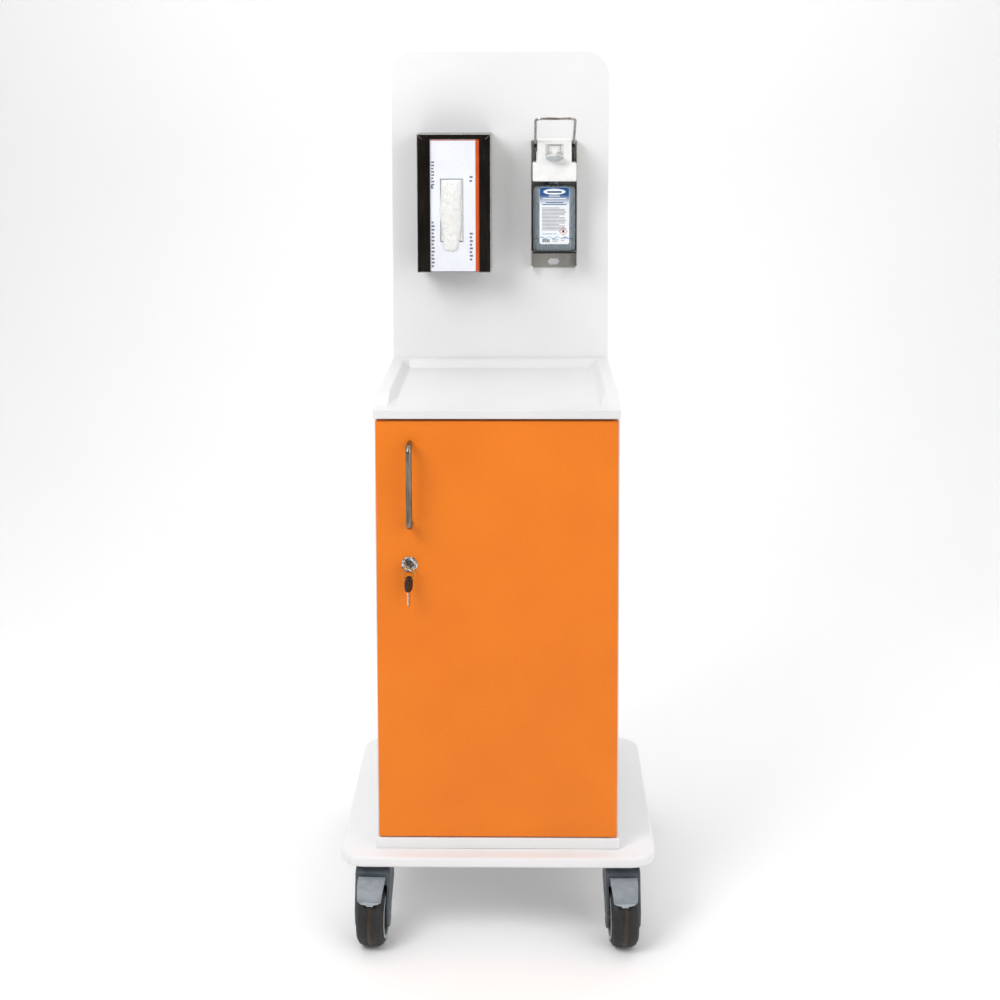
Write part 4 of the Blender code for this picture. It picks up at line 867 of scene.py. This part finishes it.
def label_pieces(cx, front, foot, top):
    """A generic label: blue head that fades down, bars for lines, a warning diamond and a wave."""
    half = 27 * MM
    middle = (foot + top) / 2
    paper = round_rect(2 * half, top - foot, [4 * MM] * 4, 6, (cx, middle))
    sheet = piece("label_paper", prism(paper, "XZ", front - 0.35 * MM, front + 0.3 * MM))
    put(sheet, "cabinet", FINISH["label"])
    ink = front - 0.42 * MM
    head = round_rect(2 * half - 0.8 * MM, 34 * MM, [3.6 * MM, 3.6 * MM, 0, 0], 6, (cx, top - 17.4 * MM))
    band = piece("label_blue_head", prism(head, "XZ", ink, front - 0.30 * MM))
    put(band, "cabinet", FINISH["ink_fade"])
    oval = [(cx + 20 * MM * math.cos(a), top - 8.5 * MM + 5.4 * MM * math.sin(a))
            for a in (2 * math.pi * i / 40 for i in range(40))]
    plate = piece("label_name_plate", prism(oval, "XZ", ink - 0.05 * MM, front - 0.35 * MM))
    put(plate, "cabinet", FINISH["label"])

    def bars(name, rows, material, thick):
        """Rows of (left, right, height below the label's top), all in millimetres."""
        strip(name, [((cx + a * MM, ink - 0.06 * MM, top - (z + thick) * MM),
                      (cx + b * MM, front - 0.33 * MM, top - z * MM)) for a, b, z in rows],
              material, "cabinet")

    bars("label_name_bar", [(-13, 13, 7.4)], FINISH["ink_blue_deep"], 3.0)
    bars("label_head_bars", [(-10, 10, 15.6), (-21, 21, 20.0)], FINISH["label"], 1.5)
    bars("label_title_bars", [(-16, 16, 27.5), (-22, 22, 31.0)], FINISH["ink_blue_deep"], 1.6)
    rows = []
    for i in range(17):
        reach = 22 - 3.4 * abs(math.sin(i * 2.1))
        rows.append((-22.5, reach if i % 6 else reach * 0.4, 37.5 + 2.5 * i))
    bars("label_text_bars", rows, FINISH["ink_slate"], 0.9)
    bars("label_foot_bars", [(-22, -4, 84.5), (-2, 3, 84.5)], FINISH["ink_blue"], 1.4)
    bars("label_bar_code", [(-22 + 1.25 * i, -22 + 1.25 * i + (0.8 if i % 3 else 0.45), 94.5)
                            for i in range(11)], FINISH["black"], 6.0)
    bars("label_small_print", [(-4, 8, 95.5), (-4, 6, 98.0), (12, 21, 92.5), (12, 18, 96.5)],
         FINISH["ink_slate"], 0.9)
    mid_x, mid_z, reach = cx + 16.2 * MM, top - 80.5 * MM, 7.0 * MM
    corners = [(mid_x + reach, mid_z), (mid_x, mid_z + reach), (mid_x - reach, mid_z), (mid_x, mid_z - reach)]
    diamond = [Vector((x, ink, z)) for x, z in corners]
    put(piece("label_diamond", rod(diamond, 0.6 * MM, 8, closed=True), 60), "cabinet",
        FINISH["ink_red"])
    flame = [(mid_x + 2.0 * MM * math.sin(a) * (1 - 0.35 * math.cos(a)), mid_z + 2.6 * MM * math.cos(a))
             for a in (2 * math.pi * i / 18 for i in range(18))]
    put(piece("label_diamond_drop", prism(flame, "XZ", ink - 0.02 * MM, front - 0.33 * MM)), "cabinet",
        FINISH["black"])
    count = 26
    crest = [(cx - half + 0.6 * MM + (2 * half - 1.2 * MM) * i / count,
              foot + (12.5 + 1.6 * math.sin(i * 0.9)) * MM) for i in range(count + 1)]
    under = [(x, z - (1.6 + 0.8 * math.sin(i * 0.6)) * MM) for i, (x, z) in enumerate(crest)]
    put(piece("label_wave", prism(crest + under[::-1], "XZ", ink, front - 0.33 * MM)), "cabinet",
        FINISH["ink_blue"])


def bracket_detail():
    """Painted highlights down the bracket's folded rail edges, and the two tabs at its foot."""
    low, high = lo("dispenser_bracket"), hi("dispenser_bracket")
    rail_depth, tab_w, tab_d, tab_h = 24 * MM, 3.4 * MM, 8 * MM, 5 * MM
    y = high.y - rail_depth
    # Painted highlight: pale strips down the folded front edges of both rails.
    rails = [rod([(x, y, low.z + 2 * MM), (x, y, high.z - 2 * MM)], 0.85 * MM, 10)
             for x in (low.x + 0.7 * MM, high.x - 0.7 * MM)]
    put(piece("bracket_rail_highlights", join_meshes(rails), 60), "cabinet", FINISH["edge_highlight_steel"])
    ledge = [((low.x + 3 * MM, low.y - 0.2 * MM, low.z + 33.4 * MM),
              (high.x - 3 * MM, low.y + 1.2 * MM, low.z + 36.6 * MM))]
    strip("bracket_ledge_lip", ledge, FINISH["black"], "cabinet", 0.4 * MM)
    tabs = [((x, y - 1 * MM, low.z + 0.2 * MM), (x + tab_w, y + tab_d, low.z + tab_h))
            for x in (low.x, high.x - tab_w)]
    strip("bracket_foot_tabs", tabs, FINISH["white"], "cabinet", 0.6 * MM)


def make_dispenser(sizes):
    """The elbow-lever dispenser with its wall bracket and bottle."""
    paint(FINISH["stainless"], "dispenser_bracket")
    paint(FINISH["polished"], "lever_loop")
    paint(FINISH["black"], "lever_hub_left", "lever_hub_right")
    paint(FINISH["white"], "pump_housing", "pump_plunger", "nozzle")
    paint(FINISH["bottle"], "dip_tube")
    housing_detail()
    spout_detail()
    bracket_detail()
    bottle_pieces(sizes.gel_level)


# ---------------------------------------------------------------- castors
CORNERS = ("front_left", "front_right", "rear_left", "rear_right")


def wheel_detail(castor):
    """A worn tread band in the tyre's groove and a pale hub ring on each face."""
    place, axis = joint(castor + "_spin")
    width = WHEEL_W / 2
    groove, crown, half = 40.5 * MM, 49.8 * MM, 4.4 * MM
    edge = [(crown - 0.6 * MM, -half), (crown - 0.1 * MM, 1 * MM - half), (crown, 0),
            (crown - 0.1 * MM, half - 1 * MM), (crown - 0.6 * MM, half)]
    band = [(groove, -half), *edge, (groove, half), (groove, -half)]
    put(piece(castor + "_tread_band", turned(band, place, axis, 72), 40), castor + "_wheel",
        FINISH["tread"])
    inner, outer, proud, sunk = 33 * MM, 38.2 * MM, 0.5 * MM, 1.2 * MM
    rings = []
    for side in (-1, 1):
        face = side * width
        profile = [(inner, face - side * sunk), (inner, face + side * 0.1 * MM),
                   (inner + 1 * MM, face + side * proud), (outer - 1 * MM, face + side * proud),
                   (outer, face), (outer, face - side * sunk), (inner, face - side * sunk)]
        rings.append(turned(profile, place, axis, 64))
    put(piece(castor + "_hub_rings", join_meshes(rings), 40), castor + "_wheel", FINISH["cheek"])


def pedal_detail(castor):
    """The brake pedal as moulded: tapered, its foot curved and its edges soft, with a pressed tab."""
    name = castor + "_brake_pedal"
    low, high = lo(name), hi(name)
    body = castor + "_pedal"
    cx, half = (low.x + high.x) / 2, (high.x - low.x) / 2
    bm = bmesh.new()
    bm.from_mesh(frame["nodes"][name].data)
    bmesh.ops.remove_doubles(bm, verts=bm.verts, dist=0.00002)
    longest = [e for e in bm.edges if e.calc_length() > 8 * MM]
    bmesh.ops.subdivide_edges(bm, edges=longest, cuts=7, use_grid_fill=True)
    for vert in bm.verts:
        down = smoothstep(0, 1, (high.z - vert.co.z) / (high.z - low.z))
        off = (vert.co.x - cx) / half
        vert.co.x = cx + (vert.co.x - cx) * (1 - 0.13 * down)
        vert.co.z += 3.4 * MM * down * abs(off) ** 3
        vert.co.y += 1.6 * MM * abs(off) ** 4
    obj = piece(castor + "_pedal_moulded", bm, 30)
    put(soften(obj, 1.1 * MM, 3, 35), body, FINISH["pedal"], [name])
    lip_half, lip_drop, lip_top = 16.5 * MM, 4.4 * MM, low.z + 3.6 * MM
    lip = [(cx + lip_half * math.cos(math.radians(a)), lip_top + lip_drop * math.sin(math.radians(a)))
           for a in range(180, 361, 12)]
    step = piece(castor + "_pedal_lip", prism(lip, "XZ", low.y + 0.4 * MM, low.y + 4.4 * MM))
    put(soften(step, 0.8 * MM, 3), body, FINISH["cheek"])
    tab_half = 5.5 * MM
    tab = piece(castor + "_pedal_tab", box_mesh((cx - tab_half, low.y + 3 * MM, low.z - 4.2 * MM),
                                               (cx + tab_half, low.y + 4.6 * MM, low.z + 4 * MM)))
    put(soften(tab, 0.4 * MM, 2), body, FINISH["zinc"])


def make_castors():
    """The four castors; the front pair have brake pedals."""
    for corner in CORNERS:
        castor = "caster_" + corner
        paint(FINISH["nylon"], castor + "_fork")
        paint(FINISH["rubber"], castor + "_wheel")
        paint(FINISH["zinc"], castor + "_plate", castor + "_axle")
        wheel_detail(castor)
        if corner.startswith("front"):
            pedal_detail(castor)


# ---------------------------------------------------------------- stage
# Metres and radians; the lens in millimetres and the rise as a share of the frame's width.
CAMERA_AT = (0.0447, -2.844, 1.4262)
CAMERA_PITCH = 0.0975
CAMERA_YAW = 0.0148
CAMERA_ROLL = -0.0023
CAMERA_LENS = 59.4
CAMERA_RISE = -0.2616


def lamp(name, place, aim, size, watts, tint="#ffffff"):
    """A square soft light that faces a point."""
    data = bpy.data.lights.new(name, "AREA")
    data.size = size
    data.energy = watts
    data.color = linear(tint)[:3]
    obj = bpy.data.objects.new(name, data)
    obj.location = place
    obj.rotation_euler = (Vector(aim) - Vector(place)).to_track_quat("-Z", "Y").to_euler()
    bpy.context.scene.collection.objects.link(obj)
    return obj


def stage_floor(tone):
    """A wide floor that rises at the back into a seamless wall, in pale matt paint."""
    material, tree, shader = surface("floor_matt_painted", IOR=1.45)
    place = node(tree, "ShaderNodeTexCoord").outputs["Object"]
    cloud = node(tree, "ShaderNodeTexNoise", inputs={"Vector": place, "Scale": 1.5, "Detail": 2.0})
    ramp = node(tree, "ShaderNodeValToRGB", inputs={"Fac": cloud.outputs["Fac"]})
    ramp.color_ramp.elements[0].color = (tone * 0.985, tone * 0.985, tone * 0.985, 1)
    ramp.color_ramp.elements[1].color = (tone, tone, tone, 1)
    gloss = node(tree, "ShaderNodeMapRange", inputs={
        "Value": cloud.outputs["Fac"], "To Min": 0.7, "To Max": 0.8})
    tree.links.new(ramp.outputs["Color"], shader.inputs["Base Color"])
    tree.links.new(gloss.outputs["Result"], shader.inputs["Roughness"])
    profile = [(-7.0, 0.0), (1.6, 0.0)] + arc(1.6, 1.2, 1.2, -90, 0, 16)[1:] + [(2.8, 6.0)]
    bm = bmesh.new()
    rows = [[bm.verts.new((x, y, z)) for y, z in profile] for x in (-7.0, 7.0)]
    for i in range(len(profile) - 1):
        bm.faces.new([rows[0][i], rows[1][i], rows[1][i + 1], rows[0][i + 1]])
    obj = piece("stage_floor", bm, smooth=60)
    obj.data.materials.append(material)


def stage_lights(settings):
    """A large key from the upper left, a wide fill from the right, and a pale room whose wall
    behind the camera is dim, so that polished metal has something to show."""
    lamp("key_light", (-1.35, -1.75, 2.45), (-0.05, 0, 0.75), 1.25, settings.key_power)
    lamp("fill_light", (2.4, -2.8, 1.9), (0, 0, 0.7), 2.6, settings.fill_power)
    lamp("top_light", (0.1, -0.4, 3.6), (0, 0, 0.8), 2.4, settings.top_power)
    wall = lamp("wall_light", (0, 0.9, 3.4), (0, 3.2, 1.6), 3.0, settings.wall_power)
    wall.visible_camera = False
    world = bpy.data.worlds.new("pale_room")
    world.use_nodes = True
    tree = world.node_tree
    back = tree.nodes["Background"]
    back.inputs["Strength"].default_value = settings.room_level
    way = node(tree, "ShaderNodeTexCoord").outputs["Generated"]
    parts = node(tree, "ShaderNodeSeparateXYZ", inputs={"Vector": way})
    near = node(tree, "ShaderNodeMapRange", {"interpolation_type": "SMOOTHSTEP"}, {
        "Value": parts.outputs["Y"], "From Min": -0.9, "From Max": -0.1, "To Min": 0.12})
    above = node(tree, "ShaderNodeMapRange", {"interpolation_type": "SMOOTHSTEP"}, {
        "Value": parts.outputs["Z"], "From Min": 0.35, "From Max": 0.8})
    lit = node(tree, "ShaderNodeMath", {"operation": "MAXIMUM"}, {
        0: near.outputs["Result"], 1: above.outputs["Result"]})
    seen = node(tree, "ShaderNodeLightPath").outputs["Is Camera Ray"]
    shown = node(tree, "ShaderNodeMath", {"operation": "MAXIMUM"}, {0: lit.outputs["Value"], 1: seen})
    tree.links.new(shown.outputs["Value"], back.inputs["Color"])
    bpy.context.scene.world = world


def stage_camera():
    """The camera stands in front and a little right, looking down at the cabinet."""
    data = bpy.data.cameras.new("camera")
    data.sensor_width = 36
    data.lens = CAMERA_LENS
    data.shift_y = CAMERA_RISE
    data.clip_end = 50
    obj = bpy.data.objects.new("camera", data)
    obj.location = CAMERA_AT
    level = Matrix.Rotation(CAMERA_YAW, 4, "Z") @ Matrix.Rotation(math.pi / 2 - CAMERA_PITCH, 4, "X")
    obj.rotation_euler = (level @ Matrix.Rotation(CAMERA_ROLL, 4, "Z")).to_euler()
    bpy.context.scene.collection.objects.link(obj)
    bpy.context.scene.camera = obj
    bpy.context.scene.view_settings.view_transform = "Standard"


# ---------------------------------------------------------------- add-on
class CabinetSizes(bpy.types.PropertyGroup):
    """Sizes of the fine work that stands on the frame."""
    # Width of the painted highlight strips round the glove holder's sheet.
    edge_line: bpy.props.FloatProperty(
        name="Edge highlight", description="Width of the light edge round the glove holder's sheet",
        default=0.0011, unit="LENGTH")
    mouth_tab: bpy.props.FloatProperty(
        name="Mouth tab", description="Width of a torn perforation tab round the carton's mouth",
        default=0.0011, unit="LENGTH")
    gel_level: bpy.props.FloatProperty(
        name="Gel level", description="Height of the gel's surface above the bottle's foot",
        default=0.0235, unit="LENGTH")


def colour(name, description, code):
    """A colour setting whose default is given as sRGB hex."""
    return bpy.props.FloatVectorProperty(
        name=name, description=description, default=linear(code)[:3], subtype="COLOR", min=0, max=1)


class CabinetColours(bpy.types.PropertyGroup):
    """Colours that a user would change; each finish runs between a dark and a light tone."""
    board_dark: colour("Board, dark", "Darker tone of the white boards", "#e2e2e2")
    board_light: colour("Board, light", "Lighter tone of the white boards", "#e8e8e9")
    door_dark: colour("Door, dark", "Darker tone of the door's laminate", "#de700c")
    door_light: colour("Door, light", "Lighter tone of the door's laminate", "#e87c12")
    stripe_dark: colour("Stripe, dark", "Darker tone of the carton's stripe", "#c9480a")
    stripe_light: colour("Stripe, light", "Lighter tone of the carton's stripe", "#d9570f")
    hood_dark: colour("Hood, dark", "Darker tone of the castor hoods", "#343b40")
    hood_light: colour("Hood, light", "Lighter tone of the castor hoods", "#485056")


class CabinetStage(bpy.types.PropertyGroup):
    """Light and floor."""
    key_power: bpy.props.FloatProperty(
        name="Key light", description="Power of the light at the upper left", default=40, unit="POWER")
    fill_power: bpy.props.FloatProperty(
        name="Fill light", description="Power of the wide light at the right", default=48, unit="POWER")
    top_power: bpy.props.FloatProperty(
        name="Top light", description="Power of the light overhead", default=6, unit="POWER")
    wall_power: bpy.props.FloatProperty(
        name="Wall light", description="Power of the light that whitens the wall behind", default=40,
        unit="POWER")
    room_level: bpy.props.FloatProperty(
        name="Room", description="Brightness of the pale room", default=0.75, min=0)
    floor_tone: bpy.props.FloatProperty(
        name="Floor tone", description="How pale the floor is", default=0.93, min=0, max=1,
        subtype="FACTOR")


class CABINET_OT_finishes(bpy.types.Operator):
    """Make every finish from the colour settings"""
    bl_idname = "cabinet.finishes"
    bl_label = "Finishes"

    def execute(self, context):
        FINISH.update(make_finishes(context.scene.cabinet_colours))
        return {"FINISHED"}


class CABINET_OT_boards(bpy.types.Operator):
    """Finish the white boards"""
    bl_idname = "cabinet.boards"
    bl_label = "Boards"

    def execute(self, context):
        make_boards()
        return {"FINISHED"}


class CABINET_OT_door(bpy.types.Operator):
    """Finish the door, its handle and its hinges"""
    bl_idname = "cabinet.door"
    bl_label = "Door"

    def execute(self, context):
        make_door()
        return {"FINISHED"}


class CABINET_OT_tray(bpy.types.Operator):
    """Finish the tray top"""
    bl_idname = "cabinet.tray"
    bl_label = "Tray top"

    def execute(self, context):
        make_tray()
        return {"FINISHED"}


class CABINET_OT_lock(bpy.types.Operator):
    """Finish the lock and its keys"""
    bl_idname = "cabinet.lock"
    bl_label = "Lock and keys"

    def execute(self, context):
        make_lock()
        return {"FINISHED"}


class CABINET_OT_holder(bpy.types.Operator):
    """Finish the glove holder, its carton and the first glove"""
    bl_idname = "cabinet.holder"
    bl_label = "Glove holder"

    def execute(self, context):
        make_holder(context.scene.cabinet_sizes)
        return {"FINISHED"}


class CABINET_OT_dispenser(bpy.types.Operator):
    """Finish the dispenser, its bottle and its lever"""
    bl_idname = "cabinet.dispenser"
    bl_label = "Dispenser"

    def execute(self, context):
        make_dispenser(context.scene.cabinet_sizes)
        return {"FINISHED"}


class CABINET_OT_castors(bpy.types.Operator):
    """Finish the four castors"""
    bl_idname = "cabinet.castors"
    bl_label = "Castors"

    def execute(self, context):
        make_castors()
        return {"FINISHED"}


class CABINET_OT_stage(bpy.types.Operator):
    """Set out the floor, the lights and the camera"""
    bl_idname = "cabinet.stage"
    bl_label = "Stage"

    def execute(self, context):
        settings = context.scene.cabinet_stage
        stage_floor(settings.floor_tone)
        stage_lights(settings)
        stage_camera()
        return {"FINISHED"}


GROUPS = (CABINET_OT_finishes, CABINET_OT_stage, CABINET_OT_boards, CABINET_OT_door,
          CABINET_OT_tray, CABINET_OT_lock, CABINET_OT_holder, CABINET_OT_dispenser, CABINET_OT_castors)


class CABINET_PT_pieces(bpy.types.Panel):
    """Lists the cabinet's groups of pieces"""
    bl_label = "Bedside Cabinet"
    bl_space_type = "VIEW_3D"
    bl_region_type = "UI"
    bl_category = "Cabinet"

    def draw(self, context):
        column = self.layout.column()
        for group in GROUPS:
            column.operator(group.bl_idname)
        scene = context.scene
        for settings in (scene.cabinet_sizes, scene.cabinet_colours, scene.cabinet_stage):
            box = self.layout.box()
            for key in settings.__annotations__:
                box.prop(settings, key)


CLASSES = (CabinetSizes, CabinetColours, CabinetStage, *GROUPS, CABINET_PT_pieces)


def register():
    """Add the settings, the operators and the panel."""
    for item in CLASSES:
        bpy.utils.register_class(item)
    bpy.types.Scene.cabinet_sizes = bpy.props.PointerProperty(type=CabinetSizes)
    bpy.types.Scene.cabinet_colours = bpy.props.PointerProperty(type=CabinetColours)
    bpy.types.Scene.cabinet_stage = bpy.props.PointerProperty(type=CabinetStage)


def unregister():
    """Take them away again."""
    del bpy.types.Scene.cabinet_stage
    del bpy.types.Scene.cabinet_colours
    del bpy.types.Scene.cabinet_sizes
    for item in reversed(CLASSES):
        bpy.utils.unregister_class(item)


def main():
    """Build every group."""
    register()
    bpy.ops.cabinet.finishes()
    bpy.ops.cabinet.stage()
    bpy.ops.cabinet.boards()
    bpy.ops.cabinet.door()
    bpy.ops.cabinet.tray()
    bpy.ops.cabinet.lock()
    bpy.ops.cabinet.holder()
    bpy.ops.cabinet.dispenser()
    bpy.ops.cabinet.castors()


if __name__ == "__main__":
    main()
